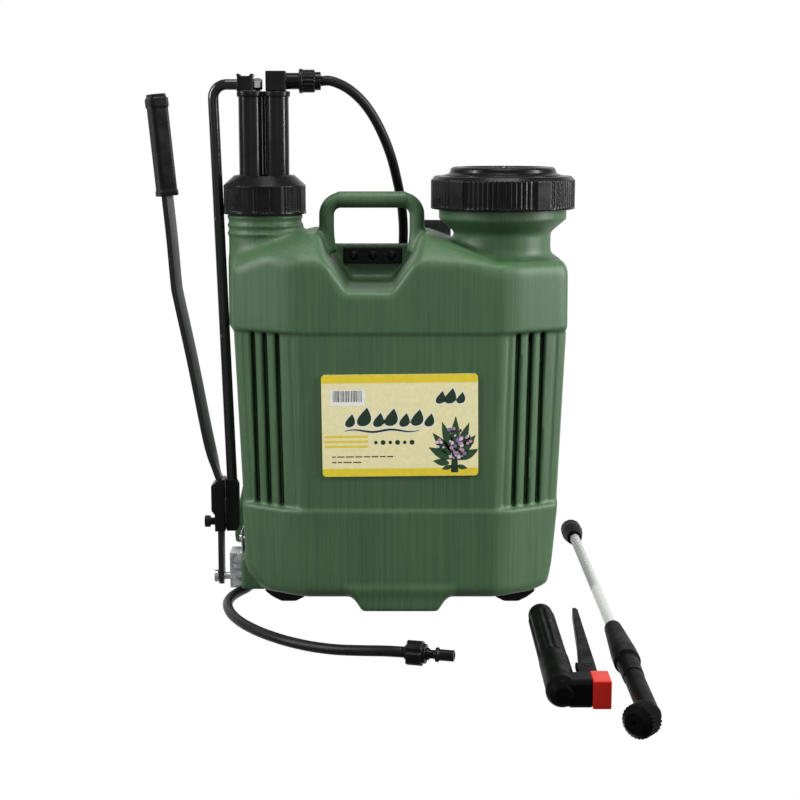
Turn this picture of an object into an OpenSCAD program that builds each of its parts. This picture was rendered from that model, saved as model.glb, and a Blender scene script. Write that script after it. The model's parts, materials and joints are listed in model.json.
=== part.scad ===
// Backpack sprayer, 12 litres: blow-moulded tank, lever pump with a twin-tube plunger,
// free spray hose, shut-off valve and lance. Millimetres, +Z up, +Y towards the wearer.
// The origin is on the floor, at the middle of the tank's keel.

/* [Tank] */
// Half of the tank's greatest width
tank_half = 155; // [145:1:165]
// Front face of the tank, on the side away from the wearer
front_y = -80; // [-90:1:-74]
// Back corners of the tank, on the wearer's side
back_y = 76; // [70:1:90]
// Height of the tank's floor over the ground
floor_z = 11; // [10:0.5:14]
// Height of the shoulders
shoulder_z = 314; // [305:1:320]
// Height of the crest that carries the handle
crest_z = 341; // [335:1:345]
// Wall of the tank
wall = 3; // [2:0.5:4]
// Lower and upper edge of the recessed label panel
panel_z = [94, 252]; // [60:1:300]

/* [Filling mouth] */
// Centre of the filling neck from the middle of the tank
mouth_x = 93.5; // [90:0.5:96]
// Radius of the filling neck
mouth_r = 44; // [42:0.5:46]
// Radius of the neck's threaded rim
rim_r = 59; // [58:0.5:60]
// Radius of the screw ring
ring_r = 65.4; // [65:0.1:66]

/* [Pump] */
// Centre of the pump neck from the middle of the tank
pump_x = -123.5; // [-125:0.5:-123]
// Radius of the pump neck
pump_r = 33.5; // [33:0.5:34]
// Radius of the plunger and of the air chamber
tube_r = 10.8; // [10.5:0.1:10.8]
// Distance between the plunger and the air chamber
tube_gap = 24; // [24:0.1:24.4]
// Top of the two tubes with the plunger raised
tubes_top = 462; // [458:1:466]

/* [Lever] */
// Height of the lever's axle
axle_z = 11; // [11:0.5:12]
// Distance from the axle to the drive rod's pin
crank = 53; // [50:0.5:54]
// Diameter of the drive rod
rod_d = 8; // [7:0.5:8.5]
// Width of the flat lever bar
bar_w = 16; // [14:1:16]

/* [Hose] */
// Outer diameter of the spray hose
hose_d = 9; // [8:0.5:9]

/* [Valve and lance] */
// Where the shut-off valve's elbow lies on the floor
valve_at = [122, -318]; // [-340:1:140]
// Length of the valve's grip
grip_len = 190; // [180:1:195]
// Line that the lance lies along, and the far end of its nut
lance_at = [180, 178]; // [150:1:200]
// Length of the lance's metal tube
lance_len = 349; // [340:1:356]

/* [Hidden] */

green = "#3f7040";
black = "#1b1b1d";
steel = "#b9bcc0";
rubber = "#262626";
red = "#cc2a1c";
cream = "#e4dcae";
pipe_grey = "#c9cbc8";

fine = 64;

plan_front = 90;
plan = [
    [-plan_front, front_y], [plan_front, front_y], [tank_half - 5, -44], [tank_half, -32],
    [tank_half, 46], [tank_half - 14, 68], [112, back_y], [52, back_y - 7],
    [-52, back_y - 7], [-112, back_y], [14 - tank_half, 68], [-tank_half, 46],
    [-tank_half, -32], [5 - tank_half, -44],
];
face = [
    [-124, floor_z], [124, floor_z], [tank_half - 9, 34], [tank_half, 240], [tank_half - 2, 302],
    [tank_half - 12, shoulder_z], [84, shoulder_z], [20, crest_z], [-76, crest_z],
    [-138, shoulder_z + 5], [2 - tank_half, shoulder_z - 4], [-tank_half, 240],
    [9 - tank_half, 34],
];
side = [
    [front_y + 8, floor_z - 1], [back_y - 6, floor_z - 1], [back_y + 1, 30], [back_y + 1, crest_z - 22],
    [back_y - 18, crest_z + 1], [-42, crest_z + 1], [front_y - 1, crest_z - 26], [front_y - 1, 26],
];
notch_left = -75;
notch_right = 21;
notch_floor = 290;
notch = [
    [notch_left, crest_z + 2], [notch_left + 8, 318], [notch_left + 29, notch_floor],
    [notch_right - 28, notch_floor], [notch_right - 7, 316], [notch_right, crest_z + 2],
];
label_size = [138, 91.5];
label_z = 171.3;
label_turn = 0.6;
keel_back = 40;
saddle_z = 322;
rib_z = panel_z + [2, -2];
rib_pitch = 13.5;
slot_w = 4.5;
slot_deep = 5;
corner = plan[2] - plan[1];
corner_turn = atan2(corner.y, corner.x);
corner_mid = 0.5 * norm(corner);
loop_left = -67;
loop_right = 15.5;
loop_top = 366;
loop_r = 7.2;
loop_bend = 13;

pump_y = 5;
neck_top = 366;
nut_low = 353;
nut_high = 379;
nut_r = 37.6;
guide_z = neck_top + 1;
plunger_x = pump_x - tube_gap / 2;
chamber_x = pump_x + tube_gap / 2;
cylinder_r = tube_r + 0.4;
cylinder_low = 212;
suction_x = plunger_x + 5;
pipe_r = 6.5;
strainer_low = 36;
strainer_h = 20;
outlet_z = 472;
pin_z = axle_z + crank;
rod_top_z = 469;
rod_slant = 1.8;
rod_bend = 12;
rod_x = -169;
rod_leg = (rod_top_z - pin_z - rod_bend) / cos(rod_slant) - 1;
lever_x = -169;
axle_y = pump_y;

rim_top = 376;
flare_z = 350;
gasket_h = 1.6;
lid_z = rim_top + gasket_h;
lid_rim = 5;
lid_r = rim_r - 0.5;

hose_route = [
    [-71.3, 5, 472], [-62, 5, 472], [-48, 8, 466], [-35, 13, 455], [-24, 20, 440], [-15, 28, 422],
    [-8, 38, 403], [-3, 49, 383], [1, 61, 362], [3, 72, 341], [3, 80.5, 320], [1, 83.5, 299],
    [-3, 83, 277], [-9, 81, 255], [-17, 80, 233], [-27, 80, 211], [-39, 81, 189], [-53, 82.5, 168],
    [-68, 84, 147], [-83, 85, 126], [-98, 86, 106], [-112, 87, 85], [-125, 88, 65], [-135, 88.5, 45],
    [-141, 85, 26], [-143, 74, 11], [-141.5, 56, 4.7], [-140, 38, 4.7], [-140, 18, 4.7],
    [-140.5, 0, 4.7], [-143.5, -15, 4.7], [-150, -29, 4.7], [-155, -45, 4.7], [-156.5, -64, 4.7], [-153, -86, 4.7],
    [-146, -107, 4.7], [-136, -127, 4.7], [-123, -146, 4.7], [-108, -163, 4.7],
    [-91, -178, 4.7], [-72, -191, 5], [-52, -202, 6.2], [-31, -211, 8.4], [-12, -217.5, 10.2], [4, -221.5, 10.6],
];
hose_end = hose_route[len(hose_route) - 1];
hose_turn = -14;

function inset(p, d) = [
    for (i = [0:len(p) - 1])
        let (n = len(p), a = p[(i + n - 1) % n], b = p[i], c = p[(i + 1) % n])
        let (u = (b - a) / norm(b - a), v = (c - b) / norm(c - b))
        let (m = [-u.y, u.x], k = [-v.y, v.x])
        b + d * (m + k) / (1 + m * k)
];
function ngon(n, r, turn = 0) = [for (i = [0:n - 1]) r * [cos(turn + 360 * i / n), sin(turn + 360 * i / n)]];
function teeth(n, low, high) = [
    for (i = [0:n - 1])
        for (s = [[-0.45, low], [-0.2, high], [0.2, high], [0.45, low]])
            s.y * [cos(360 * (i + s.x) / n), sin(360 * (i + s.x) / n)]
];
function unit(v) = v / norm(v);
function tangent(p, i) = unit(p[min(i + 1, len(p) - 1)] - p[max(i - 1, 0)]);
function normals(p, n, i = 0) =
    i == len(p) ? []
    : let (t = tangent(p, i), m = unit(n - (n * t) * t)) concat([m], normals(p, m, i + 1));

module ring(ro, ri, h) {
    difference() {
        cylinder(r = ro, h = h, $fn = fine);
        translate([0, 0, -1]) cylinder(r = ri, h = h + 2, $fn = fine);
    }
}
module turned(points) {
    rotate_extrude($fn = fine) polygon(points);
}
module along_x(from, to) {
    translate([from, 0, 0]) rotate([0, 90, 0]) linear_extrude(to - from) children();
}
module along_y(from, to) {
    translate([0, to, 0]) rotate([90, 0, 0]) linear_extrude(to - from) children();
}
module sweep(p, r, sides) {
    n = normals(p, [0, 0, 1]);
    last = len(p) - 1;
    points = [
        for (i = [0:last])
            let (t = tangent(p, i), b = cross(t, n[i]))
            for (k = [0:sides - 1])
                p[i] + r * (cos(360 * k / sides) * n[i] + sin(360 * k / sides) * b)
    ];
    walls = [
        for (i = [0:last - 1])
            for (k = [0:sides - 1])
                let (next = (k + 1) % sides)
                [(i + 1) * sides + k, (i + 1) * sides + next, i * sides + next, i * sides + k]
    ];
    caps = [
        [for (k = [0:sides - 1]) k],
        [for (k = [sides - 1:-1:0]) last * sides + k],
    ];
    polyhedron(points, concat(walls, caps));
}
module at_pump(x = pump_x) {
    translate([x, pump_y, 0]) children();
}
module at_mouth() {
    translate([mouth_x, 0, 0]) children();
}
module rounded_corner(r, bend) {
    rotate_extrude(angle = 90, $fn = fine) translate([bend, 0]) circle(r = r, $fn = 32);
}

// Tank: the plan, the front view and the side view, cut out of one another
module tank_form(d) {
    intersection() {
        translate([0, 0, floor_z - 5]) linear_extrude(crest_z) polygon(inset(plan, d));
        along_y(-120, 120) polygon(inset(face, d));
        rotate([90, 0, 90]) translate([0, 0, -200]) linear_extrude(400) polygon(inset(side, d));
    }
}
module corner_slots() {
    for (s = [-1, 1])
        for (k = [-1:1])
            translate([s * plan_front, front_y, rib_z.x])
                rotate([0, 0, s > 0 ? corner_turn : 180 - corner_turn])
                    translate([corner_mid - 2 + rib_pitch * k - slot_w / 2, -slot_deep, 0])
                        cube([slot_w, 2 * slot_deep, rib_z.y - rib_z.x]);
}
module handle_loop() {
    for (x = [loop_left, loop_right])
        translate([x, 0, crest_z - 24]) cylinder(r = loop_r, h = loop_top - loop_bend - crest_z + 24, $fn = 32);
    translate([loop_left + loop_bend, 0, loop_top]) rotate([0, 90, 0])
        cylinder(r = loop_r, h = loop_right - loop_left - 2 * loop_bend, $fn = 32);
    translate([loop_right - loop_bend, 0, loop_top - loop_bend]) rotate([90, 0, 0])
        rounded_corner(loop_r, loop_bend);
    translate([loop_left + loop_bend, 0, loop_top - loop_bend]) rotate([90, 0, 180])
        rounded_corner(loop_r, loop_bend);
}
module lever_hood() {
    hood = [[-120, 100], [5 - tank_half, 100], [-157, 72], [-163, 52], [-163, 42], [-160, 39], [-120, 39]];
    along_y(63, 75) polygon(hood);
    along_y(41, 66) polygon([[-120, 39], [6 - tank_half, 39], [6 - tank_half, 17], [-120, 17]]);
}
module tank() {
    color(green) difference() {
        union() {
            tank_form(0);
            at_pump() translate([0, 0, 250]) cylinder(r = pump_r, h = neck_top - 250, $fn = fine);
            for (z = [337, 344, 358])
                at_pump() translate([0, 0, z]) cylinder(r = pump_r + 1.3, h = 2, $fn = fine);
            at_mouth() turned([
                [0, 280], [mouth_r, 280], [mouth_r, 338], [rim_r - 1, flare_z], [rim_r - 1, 359],
                [rim_r, 361], [rim_r, rim_top], [0, rim_top],
            ]);
            handle_loop();
            lever_hood();
            along_y(front_y + 2, keel_back) polygon([
                [-48, floor_z + 2], [-35, 0], [35, 0], [48, floor_z + 2],
            ]);
        }
        // The hollow inside, and the two mouths
        difference() {
            tank_form(wall);
            along_y(-120, 58 + wall) polygon(inset(notch, -wall));
            corner_backs();
        }
        at_pump() translate([0, 0, 240]) cylinder(r = pump_r - 3, h = 200, $fn = fine);
        at_mouth() turned([
            [0, 270], [mouth_r - 3, 270], [mouth_r - 3, 339], [rim_r - 4, flare_z + 1], [rim_r - 4, 400],
            [0, 400],
        ]);
        // The hand recess under the handle, the label panel and the pleated corners
        difference() {
            along_y(-120, 58) polygon(notch);
            handle_loop();
        }
        translate([notch_left + 8, 50, saddle_z]) cube([notch_right - notch_left - 15, 60, 40]);
        translate([3 - plan_front, front_y - 10, panel_z.x])
            cube([2 * plan_front - 6, 11.6, panel_z.y - panel_z.x]);
        corner_slots();
        translate([-40, front_y + 30, -1]) cube([80, 36, 1 + floor_z / 2]);
    }
}
module corner_backs() {
    deep = slot_deep + wall;
    for (s = [-1, 1])
        translate([s * plan_front, front_y, rib_z.x - wall])
            rotate([0, 0, s > 0 ? corner_turn : 180 - corner_turn])
                translate([corner_mid - 2 - 1.5 * rib_pitch - wall, -deep, 0])
                    cube([3 * rib_pitch + 2 * wall, 2 * deep, rib_z.y - rib_z.x + 2 * wall]);
}
module label() {
    color(cream) translate([0, front_y + 1.5, label_z]) rotate([0, -label_turn, 0])
        translate([-label_size.x / 2, -0.4, -label_size.y / 2]) cube([label_size.x, 0.4, label_size.y]);
}

// Pump: the parts that stay with the tank
module pump_nut() {
    color(black) at_pump() difference() {
        union() {
            translate([0, 0, nut_low]) linear_extrude(nut_high - nut_low) polygon(teeth(72, nut_r - 0.9, nut_r - 0.2));
            translate([0, 0, nut_low]) cylinder(r = nut_r + 0.3, h = 2.5, $fn = fine);
            for (k = [0:7])
                rotate([0, 0, 22.5 + 45 * k]) translate([nut_r - 5, -4, nut_low]) cube([5.4, 8, nut_high - nut_low]);
            turned([[0, nut_high - 1], [nut_r - 0.3, nut_high - 1], [nut_r - 0.3, nut_high], [27.5, nut_high + 9], [0, nut_high + 9]]);
        }
        translate([0, 0, nut_low - 1]) cylinder(r = pump_r + 2, h = guide_z + 5.4 - nut_low, $fn = fine);
        cylinder(r = 25, h = 500, $fn = fine);
    }
}
module pump_gasket() {
    color(rubber) at_pump() translate([0, 0, neck_top]) ring(pump_r - 0.3, pump_r - 2.8, 1);
}
module pump_guide() {
    color(black) difference() {
        at_pump() union() {
            translate([0, 0, guide_z - 14]) cylinder(r = pump_r - 3.4, h = 14, $fn = fine);
            translate([0, 0, guide_z]) cylinder(r = pump_r, h = 4, $fn = fine);
            translate([-4.5, 12.5, guide_z]) cube([7, 3, 92]);
        }
        for (x = [plunger_x, chamber_x])
            translate([x, pump_y, guide_z - 20]) cylinder(r = cylinder_r, h = 40, $fn = fine);
        translate([plunger_x, pump_y, guide_z - 20]) cylinder(r = cylinder_r + 1.5, h = 12, $fn = fine);
    }
}
module pump_cylinder() {
    color("#d9d7cf") at_pump(plunger_x) translate([0, 0, cylinder_low]) ring(cylinder_r + 1.5, cylinder_r, guide_z - 8 - cylinder_low);
}
module cylinder_foot() {
    foot_r = cylinder_r + 3;
    color(black) difference() {
        union() {
            at_pump(plunger_x) translate([0, 0, cylinder_low - 12]) cylinder(r = foot_r, h = 12, $fn = fine);
            at_pump(suction_x) translate([0, 0, cylinder_low - 28]) cylinder(r = pipe_r + 1.5, h = 18, $fn = fine);
        }
        at_pump(plunger_x) translate([0, 0, cylinder_low - 6]) cylinder(r = 7, h = 10, $fn = fine);
        at_pump(suction_x) translate([0, 0, cylinder_low - 29]) cylinder(r = pipe_r, h = 15, $fn = fine);
        at_pump(suction_x - 2) translate([0, 0, cylinder_low - 20]) cylinder(r = 3, h = 20, $fn = 32);
    }
}
module foot_valve_ball() {
    color(steel) at_pump(plunger_x) translate([0, 0, cylinder_low - 0.2]) sphere(r = 5.6, $fn = 48);
}
module suction_pipe() {
    low = strainer_low + strainer_h;
    color("#d9d7cf") at_pump(suction_x) translate([0, 0, low]) ring(pipe_r, pipe_r - 1.5, cylinder_low - 14 - low);
}
module suction_strainer() {
    slots = 8;
    color(black) at_pump(suction_x) translate([0, 0, strainer_low]) difference() {
        union() {
            cylinder(r = 9.5, h = strainer_h, $fn = fine);
            translate([0, 0, strainer_h]) ring(pipe_r + 1.5, pipe_r, 8);
        }
        translate([0, 0, 2]) cylinder(r = 8, h = strainer_h - 4, $fn = fine);
        translate([0, 0, -1]) cylinder(r = 4.5, h = strainer_h + 2, $fn = fine);
        for (k = [0:slots - 1])
            rotate([0, 0, 360 * k / slots]) translate([6, -1.5, 4]) cube([6, 3, strainer_h - 8]);
    }
}

// Pump: the twin tubes that slide
module plunger() {
    color(black) at_pump(plunger_x) difference() {
        union() {
            translate([0, 0, 300]) cylinder(r = tube_r, h = tubes_top - 4 - 300, $fn = fine);
            translate([0, 0, 286]) cylinder(r = 5, h = 15, $fn = fine);
        }
        translate([0, 0, 303]) cylinder(r = tube_r - 2.2, h = 200, $fn = fine);
        translate([0, 0, 280]) cylinder(r = 2.5, h = 40, $fn = fine);
    }
}
module piston_seal() {
    color(rubber) at_pump(plunger_x) translate([0, 0, 290]) ring(cylinder_r - 0.1, 5, 8);
}
module air_chamber() {
    color(black) at_pump(chamber_x) difference() {
        translate([0, 0, 320]) cylinder(r = tube_r, h = tubes_top - 4 - 320, $fn = fine);
        translate([0, 0, 323]) cylinder(r = tube_r - 2.2, h = 200, $fn = fine);
    }
}
module plunger_head() {
    clip = [[-7.6, 0], [7.6, 0], [7, 12], [7.8, 15.5], [5, 15.5], [4, 13.5], [-4, 13.5], [-5, 15.5], [-7.8, 15.5], [-7, 12]];
    color(black) difference() {
        union() {
            for (x = [plunger_x, chamber_x])
                at_pump(x) translate([0, 0, tubes_top - 4]) cylinder(r = tube_r + 1.4, h = 5, $fn = fine);
            translate([plunger_x, pump_y - 6, tubes_top - 4]) cube([tube_gap, 12, 5]);
            translate([plunger_x - 4, 0, tubes_top + 1]) along_y(pump_y - 9, pump_y + 9) polygon(clip);
        }
        translate([0, pump_y, rod_top_z]) rotate([0, 90, 0]) translate([0, 0, -200]) cylinder(r = rod_d / 2 + 0.06, h = 400, $fn = 32);
    }
}
module outlet_elbow() {
    color(black) difference() {
        union() {
            translate([chamber_x - 9.5, pump_y - 9, tubes_top + 1]) cube([18, 18, 18]);
            translate([chamber_x - 6, pump_y, outlet_z]) rotate([0, 90, 0]) cylinder(r = 7.4, h = 26.5, $fn = 48);
        }
        translate([chamber_x - 5, pump_y, outlet_z]) rotate([0, 90, 0]) cylinder(r = 3.2, h = 40, $fn = 32);
    }
}
module outlet_nut() {
    at_nut = [chamber_x + 20.5, pump_y, outlet_z];
    color(black) translate(at_nut) rotate([0, 90, 0]) difference() {
        union() {
            linear_extrude(14) polygon(teeth(16, 9.2, 10.2));
            cylinder(r = 11, h = 3, $fn = 48);
            translate([0, 0, 14]) cylinder(r = 8.2, h = 5.5, $fn = 48);
        }
        translate([0, 0, -1]) cylinder(r = 6, h = 13, $fn = 32);
        translate([0, 0, 11]) cylinder(r = 3.2, h = 10, $fn = 32);
    }
}

// Drive rod from the lever up to the plunger's head
module rod_path() {
    bend_at = [rod_x + rod_bend, pump_y, rod_top_z - rod_bend];
    translate([bend_at.x, pump_y, rod_top_z]) rotate([0, 90, 0]) cylinder(r = rod_d / 2, h = -125 - bend_at.x, $fn = 32);
    translate(bend_at) rotate([90, 0, 0]) rotate([0, 0, 90]) rotate_extrude(angle = 90 + rod_slant, $fn = fine)
        translate([rod_bend, 0]) circle(r = rod_d / 2, $fn = 32);
    translate(bend_at) rotate([0, -rod_slant, 0]) translate([-rod_bend, 0, -rod_leg + 4])
        cylinder(r = rod_d / 2, h = rod_leg - 4, $fn = 32);
}
module drive_rod() {
    color(black) rod_path();
}
module rod_nut() {
    color(steel) translate([-131, pump_y, rod_top_z]) rotate([0, 90, 0]) difference() {
        linear_extrude(5) polygon(ngon(6, 5.8));
        translate([0, 0, -1]) cylinder(r = rod_d / 2, h = 8, $fn = 32);
    }
}
module rod_foot() {
    shape = [[-163.4, pin_z - 8], [-154, pin_z - 8], [-151.5, pin_z - 4], [-151.5, pin_z + 36], [-155, pin_z + 42], [-163.4, pin_z + 42]];
    color(black) difference() {
        along_y(pump_y - 7, pump_y + 7) polygon(shape);
        translate([rod_x + rod_bend, pump_y, rod_top_z - rod_bend]) rotate([0, -rod_slant, 0])
            translate([-rod_bend, 0, -rod_leg + 4]) cylinder(r = rod_d / 2, h = rod_leg - 4, $fn = 32);
    }
}

// Lever: flat bar, hub that carries the rod's pin, and grip
function ribbon(p, w) = concat(
    [for (i = [0:len(p) - 1]) p[i] + w / 2 * side_of(p, i)],
    [for (i = [len(p) - 1:-1:0]) p[i] - w / 2 * side_of(p, i)]
);
function side_of(p, i) = let (t = tangent(p, i)) [-t.y, t.x];
grip_low = [-212.5, 369];
grip_tilt = 5.2;
bar_bend = [-205.5, 281];
module lever_bar() {
    bar = [[lever_x, axle_z], [lever_x, pin_z + 34], bar_bend, [-209, 330], grip_low, [-214.7, 393]];
    color("#2a2b2d") difference() {
        union() {
            along_y(axle_y - bar_w / 2, axle_y + bar_w / 2) polygon(ribbon(bar, 5));
            translate([lever_x, axle_y, axle_z]) rotate([0, 90, 0]) translate([0, 0, -2.5]) cylinder(r = bar_w / 2, h = 5, $fn = 48);
        }
        for (z = [axle_z, pin_z])
            translate([lever_x - 10, axle_y, z]) rotate([0, 90, 0]) cylinder(r = 3.56, h = 20, $fn = 32);
    }
}
module lever_hub() {
    shape = [
        [-177, pin_z + 12], [-174, pin_z + 8], [-174, pin_z - 8], [-164, pin_z - 8], [-164, pin_z + 42],
        [-170, pin_z + 42], [-177, pin_z + 36],
    ];
    bar = [[lever_x, axle_z - 10], [lever_x, pin_z + 34], bar_bend];
    color(black) difference() {
        along_y(axle_y - 10, axle_y + 10) polygon(shape);
        along_y(axle_y - bar_w / 2, axle_y + bar_w / 2) polygon(ribbon(bar, 5));
        translate([-190, axle_y, pin_z]) rotate([0, 90, 0]) cylinder(r = 3.5, h = 40, $fn = 32);
    }
}
module lever_pin() {
    color(black) translate([-184, axle_y, pin_z]) rotate([0, 90, 0]) union() {
        cylinder(r = 5.5, h = 5, $fn = 32);
        cylinder(r = 3.5, h = 19.8, $fn = 32);
    }
}
module lever_grip() {
    section = [[-10, -7], [-7, -10], [7, -10], [10, -7], [10, 7], [7, 10], [-7, 10], [-10, 7]];
    bar = [[-209, 330], grip_low, [-214.7, 393], [-215.7, 404]];
    color(black) difference() {
        translate([grip_low.x, axle_y, grip_low.y]) rotate([0, -grip_tilt, 0]) union() {
            linear_extrude(89) polygon(section);
            linear_extrude(5) polygon(1.08 * section);
            translate([0, 0, 80]) linear_extrude(8) polygon(1.1 * section);
            translate([0, 0, 88]) linear_extrude(4) polygon(0.92 * section);
        }
        along_y(axle_y - bar_w / 2, axle_y + bar_w / 2) polygon(ribbon(bar, 5.2));
    }
}

// Filling mouth: strainer, lid and screw ring
module fill_strainer() {
    color(black) at_mouth() difference() {
        turned([[0, 300], [39.6, 300], [40.4, 302], [40.4, 351.3], [54.4, 351.3], [54.4, 353], [38.8, 353], [38.8, 302], [0, 302]]);
        for (k = [0:5])
            rotate([0, 0, 30 * k]) translate([-50, -4, 308]) cube([100, 8, 30]);
        for (x = [-24:12:24])
            translate([x - 3, -18, 290]) cube([6, 36, 20]);
    }
}
module lid() {
    color(black) at_mouth() turned([
        [0, 389.5], [35, 389.5], [43, 391], [44.5, 386], [50, 380], [50, lid_z], [lid_r, lid_z], [lid_r, lid_z + lid_rim],
        [54, lid_z + lid_rim], [53, 388.5], [48.5, 390], [47.5, 394], [45, 395.6], [38, 395.6], [36, 392.5], [0, 392.5],
    ]);
}
module lid_gasket() {
    color(rubber) at_mouth() translate([0, 0, rim_top]) ring(lid_r, 52, gasket_h);
}
module vent_cap() {
    color(black) at_mouth() translate([0, 0, 392.5]) difference() {
        cylinder(r = 9, h = 4, $fn = 48);
        translate([-1.2, -10, 2.4]) cube([2.4, 20, 4]);
    }
}
module lid_ring() {
    color(black) at_mouth() difference() {
        union() {
            translate([0, 0, 358]) linear_extrude(26) polygon(teeth(90, ring_r - 0.9, ring_r));
            turned([[60, 384], [ring_r - 0.4, 384], [ring_r - 3.5, 387.6], [54.8, 387.6], [54.8, 384]]);
            translate([0, 0, 358]) cylinder(r = ring_r + 0.2, h = 2, $fn = fine);
            for (k = [0:4])
                rotate([0, 0, -60 + 72 * k]) translate([ring_r - 6, -8, 358]) cube([6.8, 16, 26.5]);
        }
        translate([0, 0, 350]) cylinder(r = 61, h = 33.2, $fn = fine);
        cylinder(r = 54.8, h = 500, $fn = fine);
    }
}

// Feet, axle and its bracket
module skid() {
    color(black) along_y(-44, 60) polygon([[-24, floor_z], [-15, 4], [-7, 0], [6, 0], [14, 4], [20, floor_z]]);
}
module left_skid() {
    translate([-102, 0, 0]) skid();
}
module right_skid() {
    translate([102, 0, 0]) mirror([1, 0, 0]) skid();
}
module axle() {
    color(steel) translate([-175.6, axle_y, axle_z]) rotate([0, 90, 0]) union() {
        cylinder(r = 6, h = 3.2, $fn = 32);
        cylinder(r = 3.5, h = 28.2, $fn = 32);
    }
}
bracket_screw_y = [-4, 10];
module axle_bracket() {
    right_wall = -148.9;
    bracket_deep = 24;
    color(steel) difference() {
        union() {
            translate([-160, -9, 3]) cube([12.7, 1.6, 34]);
            translate([-160, -9, 3]) cube([1.6, bracket_deep, 34]);
            translate([right_wall, -9, 3]) cube([1.6, bracket_deep, 55]);
            translate([-160, -9, 35.4]) cube([12.7, bracket_deep, 1.6]);
        }
        translate([-165, axle_y, axle_z]) rotate([0, 90, 0]) cylinder(r = 3.5, h = 30, $fn = 32);
        for (y = bracket_screw_y)
            translate([-155, y, 50]) rotate([0, 90, 0]) cylinder(r = 2, h = 20, $fn = 32);
    }
}
module bracket_screws() {
    color(steel) for (y = bracket_screw_y)
        translate([-150.9, y, 50]) rotate([0, 90, 0]) union() {
            cylinder(r = 4, h = 2, $fn = 32);
            cylinder(r = 2, h = 6, $fn = 32);
        }
}

// Harness on the wearer's side
strap_x = 30;
strap_line = [
    [84.3, 300], [95, 288], [107, 255], [112, 205], [110, 150], [102, 100], [93, 68], [84.3, 50],
];
module strap_anchor() {
    color(black) union() {
        translate([-54, 55.6, 303]) cube([56, 2.4, 16]);
        for (x = [-44, -26, -8])
            translate([x, 55.6, 311]) rotate([90, 0, 0]) cylinder(r = 3, h = 1.6, $fn = 32);
    }
}
module strap_hooks() {
    color(black) for (x = [-strap_x, strap_x], z = [50, 300])
        translate([x, 0, z]) union() {
            translate([-23, 69, -8]) cube([46, 3, 16]);
            for (s = [-23, 20])
                translate([s, 71, -4]) cube([3, 12, 8]);
            translate([-21, 80, 0]) rotate([0, 90, 0]) cylinder(r = 2.6, h = 42, $fn = 32);
        }
}
module strap(x, line) {
    color("#202022") along_x(x - 19, x + 19) polygon([for (p = ribbon(line, 3)) [-p.y, p.x]]);
}
module left_strap() {
    strap(-strap_x, strap_line);
}
module right_strap() {
    strap(strap_x, concat([[82.5, 343], [83.5, 318]], strap_line));
}
module pad(x) {
    line = [for (p = [[107, 255], [112, 205], [110, 150]]) p + [6.6, 0]];
    color("#26262a") along_x(x - 27, x + 27) polygon([for (p = ribbon(line, 9)) [-p.y, p.x]]);
}
module left_pad() {
    pad(-strap_x);
}
module right_pad() {
    pad(strap_x);
}
module strap_buckles() {
    color(black) for (x = [-strap_x, strap_x])
        translate([x, 106, 125]) rotate([-9.1, 0, 0]) difference() {
            translate([-24, -4, -11]) cube([48, 8, 22]);
            translate([-20, -2, -20]) cube([40, 4, 40]);
            translate([-20, -10, -3]) cube([40, 20, 6]);
        }
}
module hose_clips() {
    color(black) for (c = [[-2.1, 83.1, 282, 10.3], [-33, 80.5, 200, 28.6]])
        difference() {
            union() {
                translate([c.x, c.y, c.z]) rotate([0, c[3], 0]) translate([0, 0, -4]) cylinder(r = 7, h = 8, $fn = 32);
                translate([c.x - 6, 69, c.z - 5]) cube([12, c.y - 70, 10]);
            }
            translate([c.x, c.y, c.z]) rotate([0, c[3], 0]) translate([0, 0, -30]) cylinder(r = hose_d / 2 + 0.5, h = 60, $fn = 32);
        }
}

// Spray hose with the fitting on its free end
module hose() {
    color("#1d1d1f") sweep(hose_route, hose_d / 2, 10);
}
module at_hose_end() {
    translate(hose_end) rotate([0, 0, hose_turn]) rotate([0, 90, 0]) children();
}
module hose_nut() {
    color(black) at_hose_end() translate([0, 0, 2]) difference() {
        union() {
            linear_extrude(13) polygon(teeth(8, 8.6, 10.3));
            translate([0, 0, 13]) cylinder(r = 8, h = 3, $fn = 32);
        }
        translate([0, 0, -1]) cylinder(r = 5.06, h = 20, $fn = 32);
    }
}
module hose_tail() {
    color(black) at_hose_end() difference() {
        turned([[0, 0], [5.8, 0], [5.8, 1.8], [5, 1.8], [5, 20], [3.6, 21], [3.6, 25], [6, 26], [6, 28], [4.6, 29], [4.6, 41], [0, 41]]);
        translate([0, 0, 4]) cylinder(r = 2.2, h = 40, $fn = 32);
    }
}

// Shut-off valve, lying on its side
valve_z = 13;
trigger_x = 22;
trigger_y = 26;
cap_x = 22;
module at_valve() {
    translate([valve_at.x, valve_at.y, valve_z]) children();
}
module valve_body() {
    chamber = [[-11, -8], [-8, -11], [10, -11], [13, -8], [13, 8], [10, 11], [-8, 11], [-11, 8]];
    color(black) at_valve() difference() {
        union() {
            rotate([-90, 0, 0]) cylinder(r = 12, h = 66, $fn = 48);
            rotate([-90, 0, 0]) turned([[0, -12.9], [6.4, -12.2], [10.4, -8.6], [12.6, -3], [12.6, 2], [0, 2]]);
            along_x(5, cap_x) polygon([for (p = chamber) [-p.y, p.x]]);
            for (z = [-10.8, 5.4])
                translate([trigger_x - 9, 8, z]) cube([9, 25, 5.4]);
            for (z = [-10.8, 5.4])
                translate([trigger_x - 1, 13.2, z]) cube([6, 19.8, 5.4]);
        }
        rotate([0, 90, 0]) cylinder(r = 4, h = 30, $fn = 32);
        rotate([-90, 0, 0]) translate([0, 0, 14]) cylinder(r = 4, h = 60, $fn = 32);
        translate([trigger_x, trigger_y, -20]) cylinder(r = 2.5, h = 40, $fn = 32);
    }
}
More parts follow.
